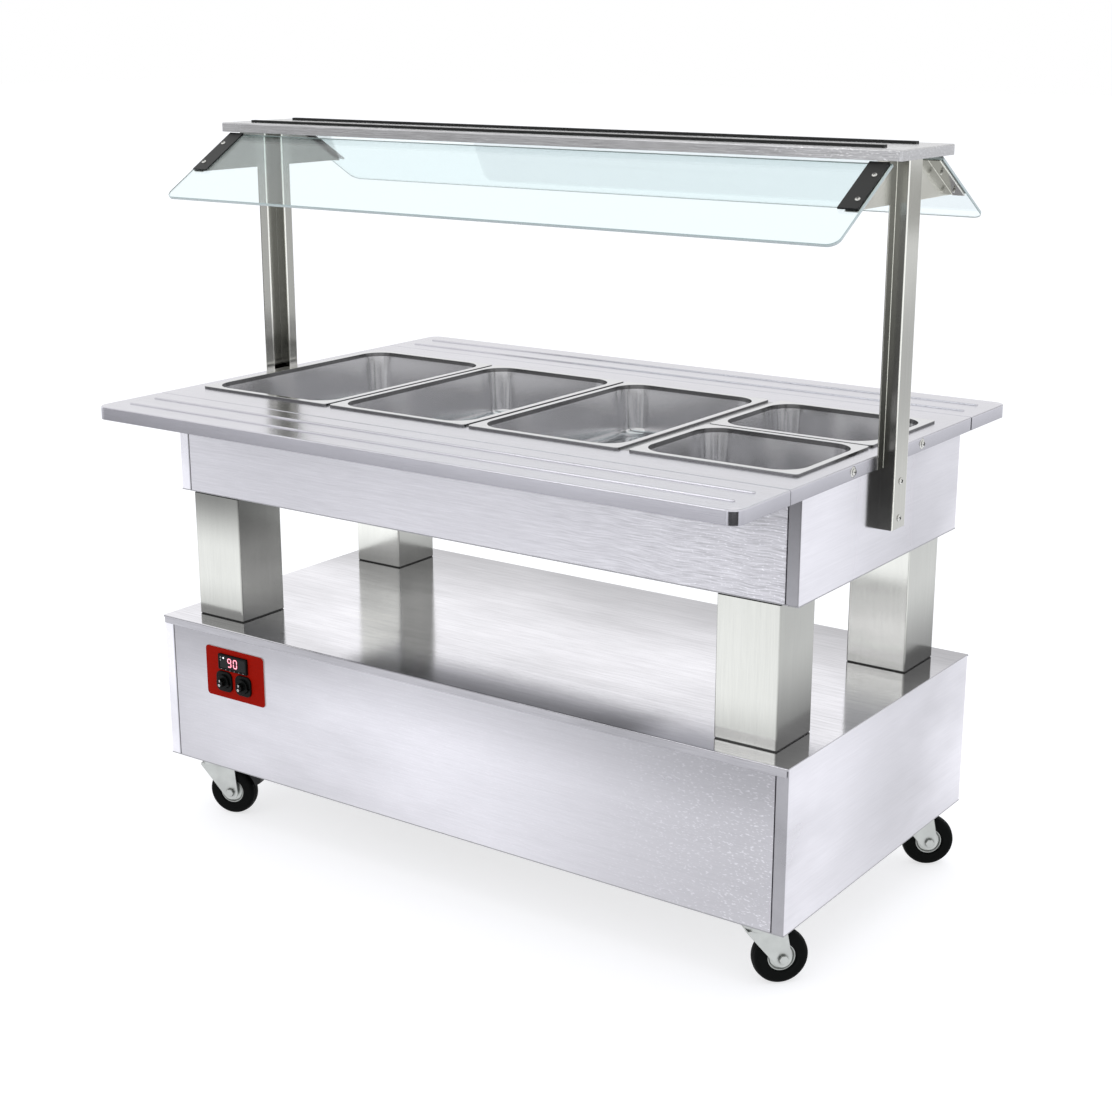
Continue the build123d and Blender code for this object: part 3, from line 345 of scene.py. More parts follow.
well_panels = brushed("brushed_stainless_well_panels", "#D7D6DB", "x", 0.32, streak=0.04, cloud=0.09, flecks=0.35,
                      zones=belt_marks)
dress(well_panels, "well_front_panel", "well_rear_panel")
dress(end_panels, "well_left_panel", "well_right_panel")
dress(mill_sheet, "well_floor")

# Water tank: drawn from stainless sheet and hung in the counter frame, with a temperature probe.
# Drawing leaves it smooth and a little clouded. The crossbars on its collar are of the same sheet.
drawn_sheet = brushed("drawn_tank_stainless", "#B6B6B8", "x", 0.3, spread=0.3)
dress(drawn_sheet, "water_tank", "temperature_probe", "pan_crossbars")

# Heater: one sheathed rod, bent to and fro over the tank's floor, with both ends through the left wall.
# Its own heat has tinted the sheath brown-grey in uneven bands.
sheath = brushed("heat_tinted_sheath", "#7C756C", "y", 0.4, cloud=0.2, spread=0.2)
dress(sheath, "heating_element")

# Drain: a ball valve of nickel-plated brass under the tank, with a lever of zinc-plated steel.
# The nickel is smooth and bright, with the yellow of the brass in it.
nickel = brushed("nickel_plated_brass", "#C2BCAE", "z", 0.22, spread=0.1)
dress(nickel, "drain_valve")
dress(zinc, "drain_lever")


# Counter frame and tray slides: folded stainless tops, brushed along the counter, on hinges under the seams.
# The slides have two raised beads, and their outer corners are welded and ground round.
def top_edges(tree, place, facing):
    """The outer corners are polished after welding, and mirror like chrome. The lips get painted light and shade:
    darker below, darker still on the ends, brighter to the right, with a painted highlight along their upper
    bend. The seams between the pieces get painted shade where faces stand close, so they are dark while closed,
    and a dark line is painted either side of each seam on the lips' ends."""
    seam_y = 0.3474
    out, aside, end_on, side_on, level = (
        node(tree, "ShaderNodeMath", {0: value}, operation="ABSOLUTE")
        for value in (place["X"], place["Y"], facing["X"], facing["Y"], facing["Z"]))
    end = node(tree, "ShaderNodeMapRange", {"Value": out, "From Min": 0.682, "From Max": 0.688})
    side = node(tree, "ShaderNodeMapRange", {"Value": aside, "From Min": 0.492, "From Max": 0.498})
    corner = node(tree, "ShaderNodeMath", {0: end, 1: side}, operation="MULTIPLY")
    dull = node(tree, "ShaderNodeMapRange", {"Value": corner, "To Min": 1.0, "To Max": 0.3})
    below = node(tree, "ShaderNodeMapRange", {"Value": place["Z"], "From Min": 0.865, "From Max": 0.888,
                                              "To Min": 0.82, "To Max": 1.02})
    along = node(tree, "ShaderNodeMapRange", {"Value": place["X"], "From Min": -0.7, "From Max": 0.7,
                                              "To Min": 0.84, "To Max": 1.14})
    below = node(tree, "ShaderNodeMath", {0: below, 1: along}, operation="MULTIPLY")
    bend = node(tree, "ShaderNodeMath", {0: place["Z"], 1: 0.8872}, operation="GREATER_THAN")
    below = node(tree, "ShaderNodeMapRange", {"Value": bend, "To Min": below, "To Max": 1.4})
    duller = node(tree, "ShaderNodeMapRange", {"Value": end_on, "From Min": 0.7, "From Max": 0.95,
                                               "To Min": 1.0, "To Max": 0.84})
    below = node(tree, "ShaderNodeMath", {0: below, 1: duller}, operation="MULTIPLY")
    tone = node(tree, "ShaderNodeMapRange", {"Value": level, "From Min": 0.2, "From Max": 0.9,
                                             "To Min": below, "To Max": 1.0})
    near = node(tree, "ShaderNodeMath", {0: aside, 1: seam_y, 2: 0.0012}, operation="COMPARE")
    seam = node(tree, "ShaderNodeMath", {0: near, 1: side_on}, operation="MULTIPLY")
    shut = node(tree, "ShaderNodeMath", {0: tone, 1: grime(tree, 0.004)}, operation="MULTIPLY")
    tone = node(tree, "ShaderNodeMapRange", {"Value": seam, "To Min": tone, "To Max": shut})
    edge = node(tree, "ShaderNodeMath", {0: aside, 1: seam_y, 2: 0.0016}, operation="COMPARE")
    edge = node(tree, "ShaderNodeMath", {0: edge, 1: end_on}, operation="MULTIPLY")
    return node(tree, "ShaderNodeMapRange", {"Value": edge, "To Min": tone, "To Max": 0.12}), dull


# The lips are drawn darker than the tops, as painted shade.
top_sheet = brushed("brushed_counter_top", "#D2D1D8", "x", 0.2, scratch=0.05, cloud=0.07, lip=0.74,
                    zones=top_edges)
dress(top_sheet, "counter_frame", "front_tray_slide", "rear_tray_slide")
dress(mill_sheet, "slide_hinges")


# Pans: deep-drawn bright stainless steel, smooth in the bowl. Their flat rims have turned-down edges
# and lie on the counter frame and the crossbars.
def rim_edges(tree, place, facing):
    """The turned-down edges of the rims get painted shadow, that of the gaps between the pans."""
    tilt = node(tree, "ShaderNodeMapRange", {"Value": facing["Z"], "From Min": 0.3, "From Max": 0.9,
                                             "To Min": 0.3, "To Max": 1.0})
    rim = node(tree, "ShaderNodeMath", {0: place["Z"], 1: 0.886}, operation="GREATER_THAN")
    return node(tree, "ShaderNodeMapRange", {"Value": rim, "To Min": 1.0, "To Max": tilt}), 1.0


pan_sheet = brushed("bright_drawn_pans", "#D2D2D4", "y", 0.16, scratch=0.006, spread=0.2, zones=rim_edges)
dress(pan_sheet, "pan_1", "pan_2", "pan_3", "half_pan_front", "half_pan_rear")


# Uprights: pressed channels of stainless sheet that widen into wings at the top, brushed upwards.
# Their walls and insides are painted dark as shade; faces and wings get painted light and shade, and the bends
# and flange roots painted highlight lines.
def channel_zones(tree, place, facing):
    """Painted light and shade: dark walls, darkest at the foot, faces and wings shaded by height and by side,
    and painted highlight lines along bends and flange roots.
    """
    foot_top = 0.8648
    out, aside = (node(tree, "ShaderNodeMath", {0: value}, operation="ABSOLUTE")
                  for value in (place["X"], place["Y"]))
    left = node(tree, "ShaderNodeMath", {0: place["X"], 1: 0.0}, operation="LESS_THAN")
    low = node(tree, "ShaderNodeMapRange", {"Value": left, "To Min": 0.82, "To Max": 1.7})
    high = node(tree, "ShaderNodeMapRange", {"Value": left, "To Min": 0.98, "To Max": 0.62})
    face = node(tree, "ShaderNodeMapRange", {"Value": place["Z"], "From Min": 0.82, "From Max": 1.0,
                                             "To Min": low, "To Max": 0.62}, **smooth)
    face = node(tree, "ShaderNodeMapRange", {"Value": place["Z"], "From Min": 1.05, "From Max": 1.3,
                                             "To Min": face, "To Max": high}, **smooth)
    wing = node(tree, "ShaderNodeMapRange", {"Value": left, "To Min": 1.5, "To Max": 0.48})
    face = node(tree, "ShaderNodeMapRange", {"Value": aside, "From Min": 0.044, "From Max": 0.056,
                                             "To Min": face, "To Max": wing})
    past_flange = node(tree, "ShaderNodeMath", {0: out, 1: 0.7045}, operation="GREATER_THAN")
    in_foot = node(tree, "ShaderNodeMath", {0: place["Z"], 1: foot_top}, operation="LESS_THAN")
    off_flange = node(tree, "ShaderNodeMath", {0: past_flange, 1: in_foot}, operation="MAXIMUM")
    behind_face = node(tree, "ShaderNodeMath", {0: out, 1: 0.7255}, operation="LESS_THAN")
    wall = node(tree, "ShaderNodeMath", {0: off_flange, 1: behind_face}, operation="MULTIPLY")
    skin = node(tree, "ShaderNodeMapRange", {"Value": place["Z"], "From Min": 0.85, "From Max": 1.36,
                                             "To Min": 0.26, "To Max": 0.5})
    skin = node(tree, "ShaderNodeMapRange", {"Value": left, "To Min": skin, "To Max": 0.6})
    tone = node(tree, "ShaderNodeMapRange", {"Value": wall, "To Min": face, "To Max": skin})
    past_wall = node(tree, "ShaderNodeMath", {0: aside, 1: 0.0226}, operation="GREATER_THAN")
    near_face = node(tree, "ShaderNodeMath", {0: out, 1: 0.7244}, operation="GREATER_THAN")
    bend = node(tree, "ShaderNodeMath", {0: past_wall, 1: near_face}, operation="MULTIPLY")
    near_wall = node(tree, "ShaderNodeMath", {0: aside, 1: 0.0268}, operation="LESS_THAN")
    on_flange = node(tree, "ShaderNodeMath", {0: off_flange, 1: 0.5}, operation="LESS_THAN")
    root = node(tree, "ShaderNodeMath", {0: near_wall, 1: on_flange}, operation="MULTIPLY")
    line = node(tree, "ShaderNodeMath", {0: bend, 1: root}, operation="MAXIMUM")
    return node(tree, "ShaderNodeMapRange", {"Value": line, "To Min": tone, "To Max": 1.6}), 1.0


upright_sheet = brushed("brushed_uprights", "#C6C6BF", "z", 0.18, cloud=0.06, zones=channel_zones)
dress(upright_sheet, "upright_left", "upright_right")

# Canopy: a shallow folded tray on the uprights, brushed along its lip with a coarse belt,
# with two dark enamelled flat rails on its top.
# Its lip is drawn a little darker than the top, as painted shade.
canopy_sheet = brushed("coarse_brushed_canopy", "#C6C6C8", "x", 0.24, scratch=0.22, flecks=0.4, lip=0.95)
dress(canopy_sheet, "canopy_top")
dress(enamel, "canopy_rails")

# Glass: two toughened panes of 6 mm with ground and polished edges, clamped on the uprights' wings under
# black enamelled plates. The faces are clear with a faint green-blue tint, and the edges are pale sea-green,
# with grinding marks that are drawn 3 mm long, coarser than they are.
pane_glass = mottled("clear_toughened_glass", "#EEF7F7", 0.2, (0.985, 1.0), Transmission_Weight=1.0, IOR=1.5,
                     Roughness=0.0)
edge_glass = mottled("polished_glass_edge", "#DCE8E5", 0.003, (0.85, 1.1), Roughness=0.18, IOR=1.5)
arris_glass = mottled("ground_glass_arris", "#A9BFBA", 0.003, (0.8, 1.15), Roughness=0.4, IOR=1.5)
pane_half = 0.730
pane_width = 0.216
pane_thick = 0.006
pane_corner = 0.020
pane_arris = 0.0008
corner_steps = 12
pane_slope = math.radians(31)
pane_top = (0.097, 1.376)


def pane_outline(inset):
    """The pane's edge as points of length and distance down the slope, round at the two lower corners."""
    half, low, radius = pane_half - inset, pane_width - inset, pane_corner - inset
    points = [(-half, inset), (half, inset)]
    for side, start in ((1, 0), (-1, 90)):
        for step in range(corner_steps + 1):
            turn = math.radians(start + step * 90 / corner_steps)
            along = side * (half - radius) + radius * math.cos(turn)
            points.append((along, low - radius + radius * math.sin(turn)))
    return points


def pane_point(side, along, down, out):
    """A place on the front (-1) or rear (1) pane, so far along, down the slope and out from its face."""
    y = pane_top[0] + down * math.cos(pane_slope) + out * math.sin(pane_slope)
    z = pane_top[1] - down * math.sin(pane_slope) + out * math.cos(pane_slope)
    return Vector((along, side * y, z))


def wall(shape, first, second, finish=0):
    """Joins two rings of points with four-sided faces."""
    for i in range(len(first)):
        shape.faces.new((first[i - 1], first[i], second[i], second[i - 1])).material_index = finish


def mesh_of(name, shape, *finishes):
    """A closed shape as a mesh, with its faces outwards and its finishes."""
    bmesh.ops.recalc_face_normals(shape, faces=shape.faces)
    mesh = bpy.data.meshes.new(name)
    shape.to_mesh(mesh)
    shape.free()
    for finish in finishes:
        mesh.materials.append(finish)
    return mesh


def new_piece(name, mesh, body):
    """Puts a mesh in the scene as a piece that moves with a body."""
    piece = bpy.data.objects.new(name, mesh)
    bpy.context.collection.objects.link(piece)
    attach(piece, body)
    return piece


pane_finishes = (pane_glass, edge_glass, arris_glass)
pane_rings = ((pane_arris, 0), (0, -pane_arris), (0, pane_arris - pane_thick), (pane_arris, -pane_thick))
for name, side in (("front", -1), ("rear", 1)):
    shape = bmesh.new()
    rings = [[shape.verts.new(pane_point(side, along, down, out)) for along, down in pane_outline(inset)]
             for inset, out in pane_rings]
    shape.faces.new(rings[0])
    shape.faces.new(rings[-1])
    for finish, upper, lower in zip((arris_glass, edge_glass, arris_glass), rings, rings[1:]):
        wall(shape, upper, lower, pane_finishes.index(finish))
    mesh = mesh_of("pane_" + name, shape, *pane_finishes)
    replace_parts(new_piece("pane_" + name, mesh, "counter"), "glass_" + name)
dress(enamel, "glass_clamps")

# Screws: round-head machine screws of bright steel with a cross recess, which hold the glass clamps, the
# uprights' feet and, over dished washers, the counter frame's end lips. The washers' rims catch the light,
# and the recesses and the places under the heads get painted shade.
screw_steel = brushed("turned_bright_steel", "#D2D2CE", "z", 0.18, scratch=0.03, spread=0.1,
                      zones=lambda tree, place, facing: (grime(tree, 0.0035), 1.0))


def seated(name, sizes):
    """A tree that sets steel things on seats: the tree, the sockets of its seats and named sizes, the turn
    that points a thing the way its seat faces, and the node that makes what reaches it real."""
    tree = bpy.data.node_groups.new(name, "GeometryNodeTree")
    tree.interface.new_socket("Seats", in_out="INPUT", socket_type="NodeSocketGeometry")
    for label in sizes:
        tree.interface.new_socket(label, in_out="INPUT", socket_type="NodeSocketFloat")
    tree.interface.new_socket("Fixings", in_out="OUTPUT", socket_type="NodeSocketGeometry")
    facing = node(tree, "GeometryNodeInputNamedAttribute", {"Name": "facing"}, data_type="FLOAT_VECTOR")
    upright = node(tree, "FunctionNodeAlignRotationToVector", {"Vector": facing}, axis="Z")
    real = node(tree, "GeometryNodeRealizeInstances")
    coated = node(tree, "GeometryNodeSetMaterial", {"Geometry": real, "Material": screw_steel})
    node(tree, "NodeGroupOutput", {0: coated})
    return tree, node(tree, "NodeGroupInput").outputs, upright, real


screw_sizes = {"Head Diameter": 0.0098, "Head Height": 0.003, "Recess Length": 0.0058, "Recess Width": 0.0015,
               "Recess Depth": 0.0016, "Shank Diameter": 0.004}
screw, size, upright, real = seated("screws_on_seats", screw_sizes)
half = node(screw, "ShaderNodeMath", {0: size["Head Diameter"], 1: 0.5}, operation="MULTIPLY")
ball = node(screw, "GeometryNodeMeshUVSphere", {"Segments": 28, "Rings": 14, "Radius": half})
xyz = node(screw, "ShaderNodeSeparateXYZ", {0: node(screw, "GeometryNodeInputPosition")}).outputs
squat = node(screw, "ShaderNodeMath", {0: size["Head Height"], 1: half}, operation="DIVIDE")
raised = node(screw, "ShaderNodeMath", {0: xyz["Z"], 1: 0.0}, operation="MAXIMUM")
height = node(screw, "ShaderNodeMath", {0: raised, 1: squat}, operation="MULTIPLY")
spot = node(screw, "ShaderNodeCombineXYZ", {0: xyz["X"], 1: xyz["Y"], 2: height})
dome = node(screw, "GeometryNodeSetPosition", {"Geometry": ball, "Position": spot})
head = node(screw, "GeometryNodeMeshBoolean", {"Mesh 1": dome}, operation="DIFFERENCE")
tall = node(screw, "ShaderNodeMath", {0: size["Recess Depth"], 1: 2.0}, operation="MULTIPLY")
up = node(screw, "ShaderNodeCombineXYZ", {2: size["Head Height"]})
for x, y in (("Recess Length", "Recess Width"), ("Recess Width", "Recess Length")):
    block = node(screw, "ShaderNodeCombineXYZ", {0: size[x], 1: size[y], 2: tall})
    slot = node(screw, "GeometryNodeMeshCube", {"Size": block})
    slot = node(screw, "GeometryNodeTransform", {"Geometry": slot, "Translation": up})
    screw.links.new(slot.outputs[0], head.inputs["Mesh 2"])
thin = node(screw, "ShaderNodeMath", {0: size["Shank Diameter"], 1: 0.5}, operation="MULTIPLY")
bar = node(screw, "GeometryNodeMeshCylinder", {"Vertices": 16, "Radius": thin, "Depth": 1.0})
shank = node(screw, "GeometryNodeTransform", {"Geometry": bar, "Translation": (0, 0, -0.5)})
turn = node(screw, "FunctionNodeRandomValue", {2: 0.0, 3: 3.14, "Seed": 7}, data_type="FLOAT")
spin = node(screw, "FunctionNodeAxisAngleToRotation", {"Axis": (0, 0, 1), "Angle": turn.outputs[1]})
aimed = node(screw, "FunctionNodeRotateRotation", {0: upright, 1: spin}, rotation_space="LOCAL")
heads = node(screw, "GeometryNodeInstanceOnPoints", {"Points": size["Seats"], "Instance": head,
                                                     "Rotation": aimed})
reach = node(screw, "GeometryNodeInputNamedAttribute", {"Name": "reach"}, data_type="FLOAT")
long = node(screw, "ShaderNodeCombineXYZ", {0: 1.0, 1: 1.0, 2: reach})
shanks = node(screw, "GeometryNodeInstanceOnPoints", {"Points": size["Seats"], "Instance": shank,
                                                      "Rotation": aimed, "Scale": long})
joined = node(screw, "GeometryNodeJoinGeometry", {0: heads})
screw.links.new(shanks.outputs[0], joined.inputs[0])
screw.links.new(joined.outputs[0], real.inputs[0])
washer_sizes = {"Rim Diameter": 0.0195, "Top Diameter": 0.0115, "Thickness": 0.0014}
washer, size, upright, real = seated("washers_on_seats", washer_sizes)
rim = node(washer, "ShaderNodeMath", {0: size["Rim Diameter"], 1: 0.5}, operation="MULTIPLY")
crown = node(washer, "ShaderNodeMath", {0: size["Top Diameter"], 1: 0.5}, operation="MULTIPLY")
dish = node(washer, "GeometryNodeMeshCone", {"Vertices": 36, "Radius Top": crown, "Radius Bottom": rim,
                                             "Depth": size["Thickness"]})
dishes = node(washer, "GeometryNodeInstanceOnPoints", {"Points": size["Seats"], "Instance": dish,
                                                       "Rotation": upright})
washer.links.new(dishes.outputs[0], real.inputs[0])


def grown(name, tree, sizes, points):
    """The mesh that a tree makes on points, each of a place, the way it faces and how far it reaches in."""
    places, ways, reaches = zip(*points)
    seats = bpy.data.meshes.new(name)
    seats.from_pydata(places, [], [])
    facing = seats.attributes.new("facing", "FLOAT_VECTOR", "POINT")
    facing.data.foreach_set("vector", [c for way in ways for c in way])
    seats.attributes.new("reach", "FLOAT", "POINT").data.foreach_set("value", reaches)
    holder = bpy.data.objects.new(name + "_seats", seats)
    bpy.context.collection.objects.link(holder)
    growth = holder.modifiers.new("growth", "NODES")
    growth.node_group = tree
    for socket in tree.interface.items_tree:
        if socket.in_out == "INPUT" and socket.name in sizes:
            growth[socket.identifier] = sizes[socket.name]
    mesh = bpy.data.meshes.new_from_object(holder.evaluated_get(bpy.context.evaluated_depsgraph_get()))
    bpy.data.objects.remove(holder)
    mesh.name = name
    mesh.shade_smooth()
    mesh.set_sharp_from_angle(angle=math.radians(35))
    return mesh


clamp_x, clamp_thick, clamp_reach = 0.715, 0.003, 0.017
clamp_downs = (0.037, 0.102)
lip_x, lip_y, lip_z, lip_reach = 0.702, 0.133, 0.878, 0.010
foot_x, foot_reach = 0.726, 0.035
foot_heights = (0.775, 0.840)
clamp_seats, frame_seats, washer_seats = [], [], []
for way in (-1, 1):
    for side in (-1, 1):
        normal = pane_point(side, 0, 0, 1) - pane_point(side, 0, 0, 0)
        for down in clamp_downs:
            clamp_seats.append((pane_point(side, way * clamp_x, down, clamp_thick), normal, clamp_reach))
        on_washer = lip_x + washer_sizes["Thickness"]
        frame_seats.append(((way * on_washer, side * lip_y, lip_z), (way, 0, 0), lip_reach))
        washer_seats.append(((way * lip_x, side * lip_y, lip_z), (way, 0, 0), 0))
    for z in foot_heights:
        frame_seats.append(((way * foot_x, 0, z), (way, 0, 0), foot_reach))
broad = dict(screw_sizes, **{"Head Diameter": 0.0125, "Head Height": 0.0036, "Recess Length": 0.0084,
                             "Recess Width": 0.0025, "Recess Depth": 0.0022})
for name, sizes, seats in (("clamp_screws", screw_sizes, clamp_seats), ("frame_screws", broad, frame_seats)):
    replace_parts(new_piece(name, grown(name, screw, sizes, seats), "counter"), "screws")
new_piece("lip_washers", grown("lip_washers", washer, washer_sizes, washer_seats), "counter")

# Rear panel screws: smaller ones of the same kind, in two rows of six along the edges of the base's rear panel.
# They hold the panel, which comes off for repairs.
small = dict(screw_sizes, **{"Head Diameter": 0.007, "Head Height": 0.0022, "Recess Length": 0.004,
                             "Recess Depth": 0.0012, "Shank Diameter": 0.003})
edge_inset, top_inset, panel_reach = 0.012, 0.030, 0.006
low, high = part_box("base_rear_panel")
pitch = (high.x - low.x - 2 * edge_inset) / 5
seats = [((low.x + edge_inset + i * pitch, high.y, z), (0, 1, 0), panel_reach)
         for i in range(6) for z in (low.z + edge_inset, high.z - top_inset)]
new_piece("rear_panel_screws", grown("rear_panel_screws", screw, small, seats), "counter")

# Control plate: a sheet of brushed aluminium on the front panel, printed red, with its bare sawn edge showing.
# The ink is satin, and the brushing under it shows as lines, drawn 1.2 mm wide, coarser than they are.
red_ink = mottled("red_printed_aluminium", "#A61404", (0.03, 0.0012, 0.0012), (0.88, 1.12), detail=2.0,
                  relief=(0.05, 0.0002), Roughness=0.5, Specular_IOR_Level=0.05)
tree = red_ink.node_tree
shader = tree.nodes["Principled BSDF"]
ink = shader.inputs["Base Color"].links[0].from_socket
facing = node(tree, "ShaderNodeSeparateXYZ", {0: node(tree, "ShaderNodeTexCoord").outputs["Normal"]}).outputs
bare = node(tree, "ShaderNodeMath", {0: facing["Y"], 1: -0.7}, operation="GREATER_THAN")
tint = node(tree, "ShaderNodeMix", {0: bare, 6: ink, 7: linear("#D8D4CE")}, data_type="RGBA")
tree.links.new(tint.outputs[2], shader.inputs["Base Color"])
lay_on(tree, shader, Metallic=bare)
dress(red_ink, "control_plate")

# Thermostat and rotary switches: housings moulded in black ABS, clipped into the control plate.
# The mould's spark-eroded texture makes them dull. It is drawn 0.8 mm wide, coarser than it is.
# The cable gland at the back of the base is of the same plastic.
moulded = mottled("black_moulded_abs", "#0B0D0C", 0.0008, (0.75, 1.35), dull=(0.34, 0.5), relief=(0.15, 0.0002),
                  eased=0.0008, Specular_IOR_Level=0.1)
dress(moulded, "thermostat", "switch_bodies", "knob_left", "knob_right", "cable_gland")


# Display: a smoked window let into the thermostat, with red lit segments that show a temperature,
# and an indicator lamp. Lit segments have a pale core in a red glow.
def flat_piece(name, outlines, y, thick, material, body="counter"):
    """Thin flat shapes facing the front, each from an outline of points in X and Z and perhaps that of a hole."""
    shape = bmesh.new()
    for lines in outlines:
        rings = [[[shape.verts.new((x, face, z)) for x, z in line] for face in (y - thick, y)] for line in lines]
        if len(lines) == 1:
            for ring in rings[0]:
                shape.faces.new(ring)
        else:
            rings += zip(*rings)
        for first, second in rings:
            wall(shape, first, second)
    return new_piece(name, mesh_of(name, shape, material), body)


def oblong(x, z, half_wide, half_high):
    """The corners of an upright rectangle."""
    return [(x + sx * half_wide, z + sz * half_high) for sx, sz in ((-1, -1), (1, -1), (1, 1), (-1, 1))]


def disc(x, z, radius, count=28):
    """The points of a circle."""
    turns = [2 * math.pi * i / count for i in range(count)]
    return [(x + radius * math.cos(turn), z + radius * math.sin(turn)) for turn in turns]


def bar_outline(x, z, length, width, upright):
    """A bar with pointed ends, as a display's segment."""
    tip = width / 2
    half = length / 2
    points = [(-half, 0), (tip - half, tip), (half - tip, tip), (half, 0), (half - tip, -tip), (tip - half, -tip)]
    return [(x - q, z + p) if upright else (x + p, z + q) for p, q in points]


low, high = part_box("thermostat")
display_x = (low.x + high.x) / 2
display_z = (low.z + high.z) / 2
face_y = low.y
window_y = face_y + 0.0015
window_thick = 0.0006
lit_y = window_y - window_thick
window_half_wide, window_half_high = 0.0348, 0.0123
film = 0.0001
smoked = mottled("smoked_acrylic_window", "#0B1110", 0.01, (0.8, 1.25), Roughness=0.12, Specular_IOR_Level=0.2)
window = oblong(display_x, display_z, window_half_wide, window_half_high)
flat_piece("display_window", [(window,)], window_y, window_thick, smoked)


def lit(name, colour, strength):
    """A lamp's colour behind a diffuser, a little uneven over its face."""
    material = mottled(name, colour, 0.003, (0.85, 1.15), detail=2.0, Roughness=0.4, Emission_Strength=strength)
    tree = material.node_tree
    sockets = tree.nodes["Principled BSDF"].inputs
    tree.links.new(sockets["Base Color"].links[0].from_socket, sockets["Emission Color"])
    return material


digit_high, digit_wide, digit_rise, digit_aside = 0.0166, 0.0086, 0.001, 0.0078
glow_wide, core_wide = 0.0030, 0.0014
segments = {"a": (0, 1, False), "b": (1, 0.5, True), "c": (1, -0.5, True), "d": (0, -1, False),
            "e": (-1, -0.5, True), "f": (-1, 0.5, True), "g": (0, 0, False)}
glow_bars, core_bars = [], []
for digit_x, on in ((-digit_aside, "abcdfg"), (digit_aside, "abcdef")):
    for key in on:
        sx, sz, upright = segments[key]
        x = display_x + digit_x + sx * digit_wide / 2
        z = display_z + digit_rise + sz * digit_high / 2
        length = digit_high / 2 if upright else digit_wide
        glow_bars.append((bar_outline(x, z, length * 0.98, glow_wide, upright),))
        core_bars.append((bar_outline(x, z, length * 0.86, core_wide, upright),))
indicator = disc(display_x - 0.024, display_z + 0.009, 0.0018)
flat_piece("display_segments", glow_bars, lit_y, film, lit("lit_red_segment", "#E0254E", 0.9))
flat_piece("display_segment_cores", core_bars, lit_y - film, film, lit("lit_segment_core", "#FFC9D6", 1.0))
flat_piece("indicator_lamp", [(indicator,)], lit_y, 3 * film, lit("lit_white_lamp", "#FFFFFF", 1.0))

# Printed marks: white ink on the black mouldings, a dot under each key of the thermostat,
# and an I and an O on the face of each knob's grip. The ink is pad-printed, so it lies on the surface.
white_ink = mottled("white_printed_ink", "#EDEFEA", 0.0006, (0.9, 1.05), detail=2.0, Roughness=0.5)
marks = [(bar_outline(display_x - 0.0325, display_z + rise, 0.004, 0.0011, True),) for rise in (0.0095, 0.0035)]
flat_piece("indicator_marks", marks, lit_y, film, white_ink)
key_start, key_pitch, key_z, key_radius = display_x - 0.030, 0.012, display_z - 0.0143, 0.0007
keys = [(disc(key_start + i * key_pitch, key_z, key_radius, 12),) for i in range(6)]
flat_piece("key_marks", keys, face_y, film, white_ink)
skirt_radius = 0.015
for side in ("left", "right"):
    low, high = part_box("knob_" + side)
    x, z = low.x + skirt_radius, (low.z + high.z) / 2
    stroke = oblong(x + 0.0006, z + 0.0047, 0.0011, 0.0025)
    ring = [disc(x - 0.0008, z - 0.0045, radius) for radius in (0.0028, 0.0012)]
    flat_piece("switch_marks_" + side, [(stroke,), ring], low.y, film, white_ink, "knob_" + side)

# Camera: at standing height to the front right, as the object is usually shown, with a rather long lens.
# It looks down a little, so that the pans and the deck are seen.
camera = bpy.data.objects.new("camera", bpy.data.cameras.new("camera"))
bpy.context.collection.objects.link(camera)
camera.location = (2.0595, -2.8967, 1.5902)
camera.rotation_euler = (math.radians(90 - 15.73), 0, math.radians(35.32))
camera.data.lens = 61.25
camera.data.sensor_width = 36
camera.data.clip_end = 100
bpy.context.scene.camera = camera


# Floor and studio: a floor painted white, which keeps a soft shadow, and a white surround.
# Both look white to the camera and in metal and glass, and light the object at a plain level.
def seen(tree):
    """One for rays from the camera, a mirror or glass, and zero for those that light a matt surface."""
    path = node(tree, "ShaderNodeLightPath").outputs
    shown = node(tree, "ShaderNodeMath", {0: path["Is Camera Ray"], 1: path["Is Glossy Ray"]}, operation="MAXIMUM")
    return node(tree, "ShaderNodeMath", {0: shown, 1: path["Is Transmission Ray"]}, operation="MAXIMUM")


floor_half = 40
floor_mesh = bpy.data.meshes.new("floor")
floor_mesh.from_pydata([(x, y, 0) for x, y in oblong(0, 0, floor_half, floor_half)], [], [(0, 1, 2, 3)])
floor = bpy.data.objects.new("floor", floor_mesh)
bpy.context.collection.objects.link(floor)
floor_paint, tree, shader, where = new_finish("white_floor")
tree.nodes.remove(shader)
lift = node(tree, "ShaderNodeMath", {0: seen(tree), 1: 0.66}, operation="MULTIPLY")
matt = node(tree, "ShaderNodeBsdfDiffuse", {"Color": linear("#B8B8B8")})
glow = node(tree, "ShaderNodeEmission", {"Color": linear("#FFFFFF"), "Strength": lift})
both = node(tree, "ShaderNodeAddShader", {0: matt, 1: glow})
tree.links.new(both.outputs[0], tree.nodes["Material Output"].inputs["Surface"])
floor_mesh.materials.append(floor_paint)

world = bpy.data.worlds.new("studio")
bpy.context.scene.world = world
world.use_nodes = True
tree = world.node_tree
tree.nodes.clear()
white = node(tree, "ShaderNodeBackground", {"Color": linear("#FFFFFF"), "Strength": 1.0})
light = node(tree, "ShaderNodeBackground", {"Color": linear("#F4F6FF"), "Strength": 1.0})
mixed = node(tree, "ShaderNodeMixShader", {0: seen(tree), 1: light, 2: white})
node(tree, "ShaderNodeOutputWorld", {"Surface": mixed})

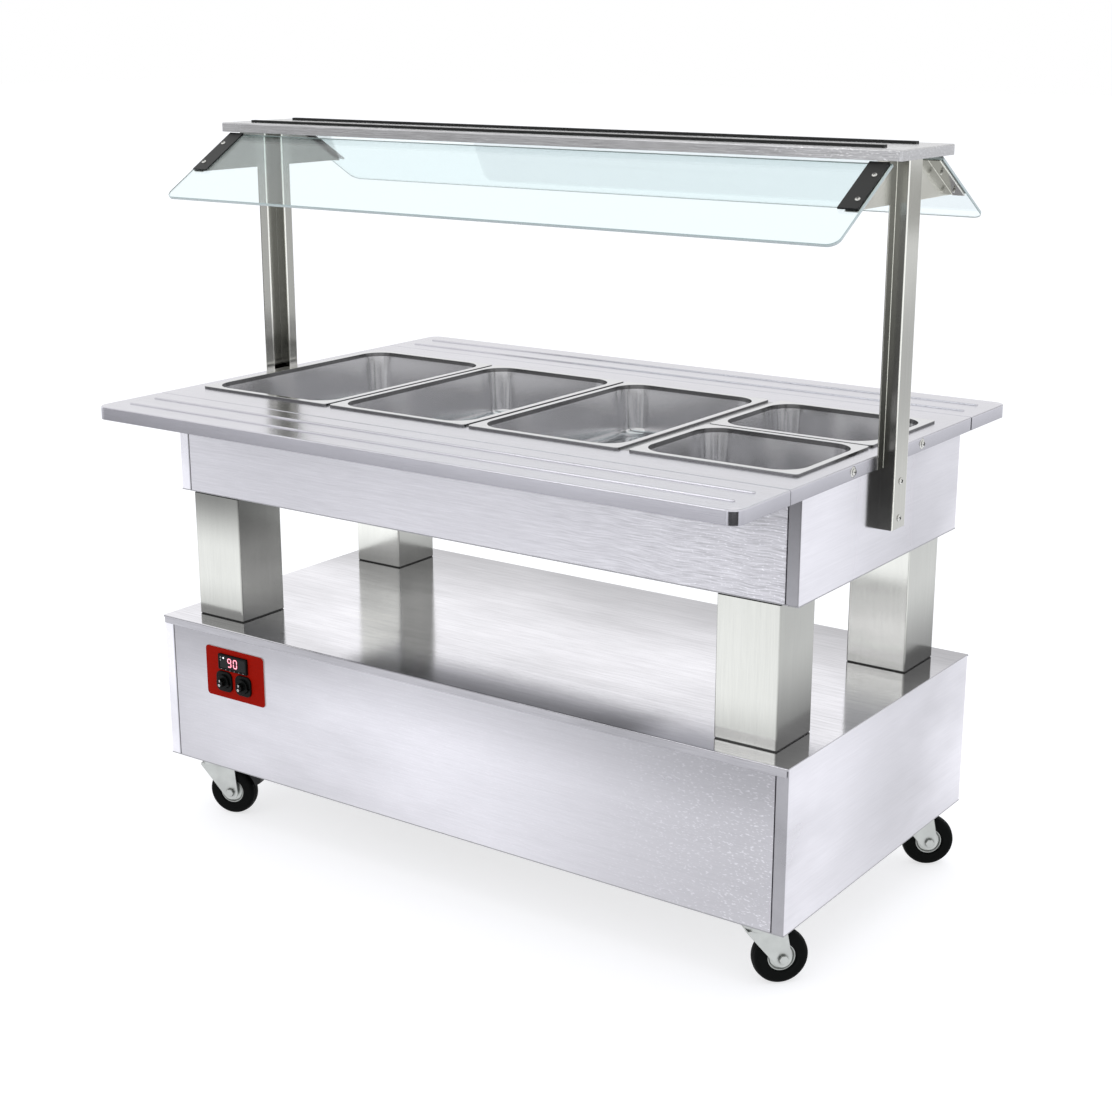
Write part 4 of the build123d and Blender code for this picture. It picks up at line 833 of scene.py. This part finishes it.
# Lamps and flags: a wide soft box overhead, which lights the matt surfaces and isn't mirrored in the metal,
# a small one at the front left, and five grey felt flags that stand round the object and show only as dark
# bands in its polished faces.
lamp_aim = Vector((0, 0, 0.6))
lamps = {
    "overhead_softbox": ((0, 0, 4.0), 5.0, 5.0, 36),
    "front_softbox": ((-1.4, -3.4, 2.6), 1.6, 1.2, 9),
}
for name, (place, wide, tall, power) in lamps.items():
    lamp = bpy.data.lights.new(name, "AREA")
    lamp.shape = "RECTANGLE"
    lamp.size = wide
    lamp.size_y = tall
    lamp.energy = power
    holder = bpy.data.objects.new(name, lamp)
    bpy.context.collection.objects.link(holder)
    holder.location = place
    holder.rotation_euler = (lamp_aim - Vector(place)).to_track_quat("-Z", "Y").to_euler()
    holder.visible_camera = False
    holder.visible_transmission = False
    holder.visible_glossy = name != "overhead_softbox"

felt, tree, shader, where = new_finish("grey_felt")
tree.nodes.remove(shader)
place = node(tree, "ShaderNodeSeparateXYZ", {0: where.outputs["Object"]}).outputs
shade = node(tree, "ShaderNodeMapRange", {"Value": place["Z"], "From Min": 0.4, "From Max": 1.2,
                                          "To Min": 0.1, "To Max": 0.58})
dark = node(tree, "ShaderNodeEmission", {"Color": linear("#FFFFFF"), "Strength": shade})
tree.links.new(dark.outputs[0], tree.nodes["Material Output"].inputs["Surface"])
flags = {
    "right_back_flag": ((1.4, 2.05), (1.95, 1.75), 1.04, 1.22),
    "back_flag": ((0.55, 2.5), (1.4, 2.05), 1.1, 1.9),
    "front_right_flag": ((-0.8, -2.5), (0.2, -2.2), 0.45, 1.1),
    "right_front_flag": ((0.5, -2.9), (2.75, -0.8), 0.22, 0.55),
    "front_left_flag": ((-2.9, -1.6), (-0.9, -2.9), 0.5, 1.5),
}
for name, (left, right, low, high) in flags.items():
    board = bpy.data.meshes.new(name)
    board.from_pydata([(*left, low), (*right, low), (*right, high), (*left, high)], [], [(0, 1, 2, 3)])
    board.materials.append(felt)
    flag = bpy.data.objects.new(name, board)
    bpy.context.collection.objects.link(flag)
    for ray in ("camera", "diffuse", "shadow", "transmission"):
        setattr(flag, "visible_" + ray, False)

bpy.context.scene.view_settings.view_transform = "Standard"
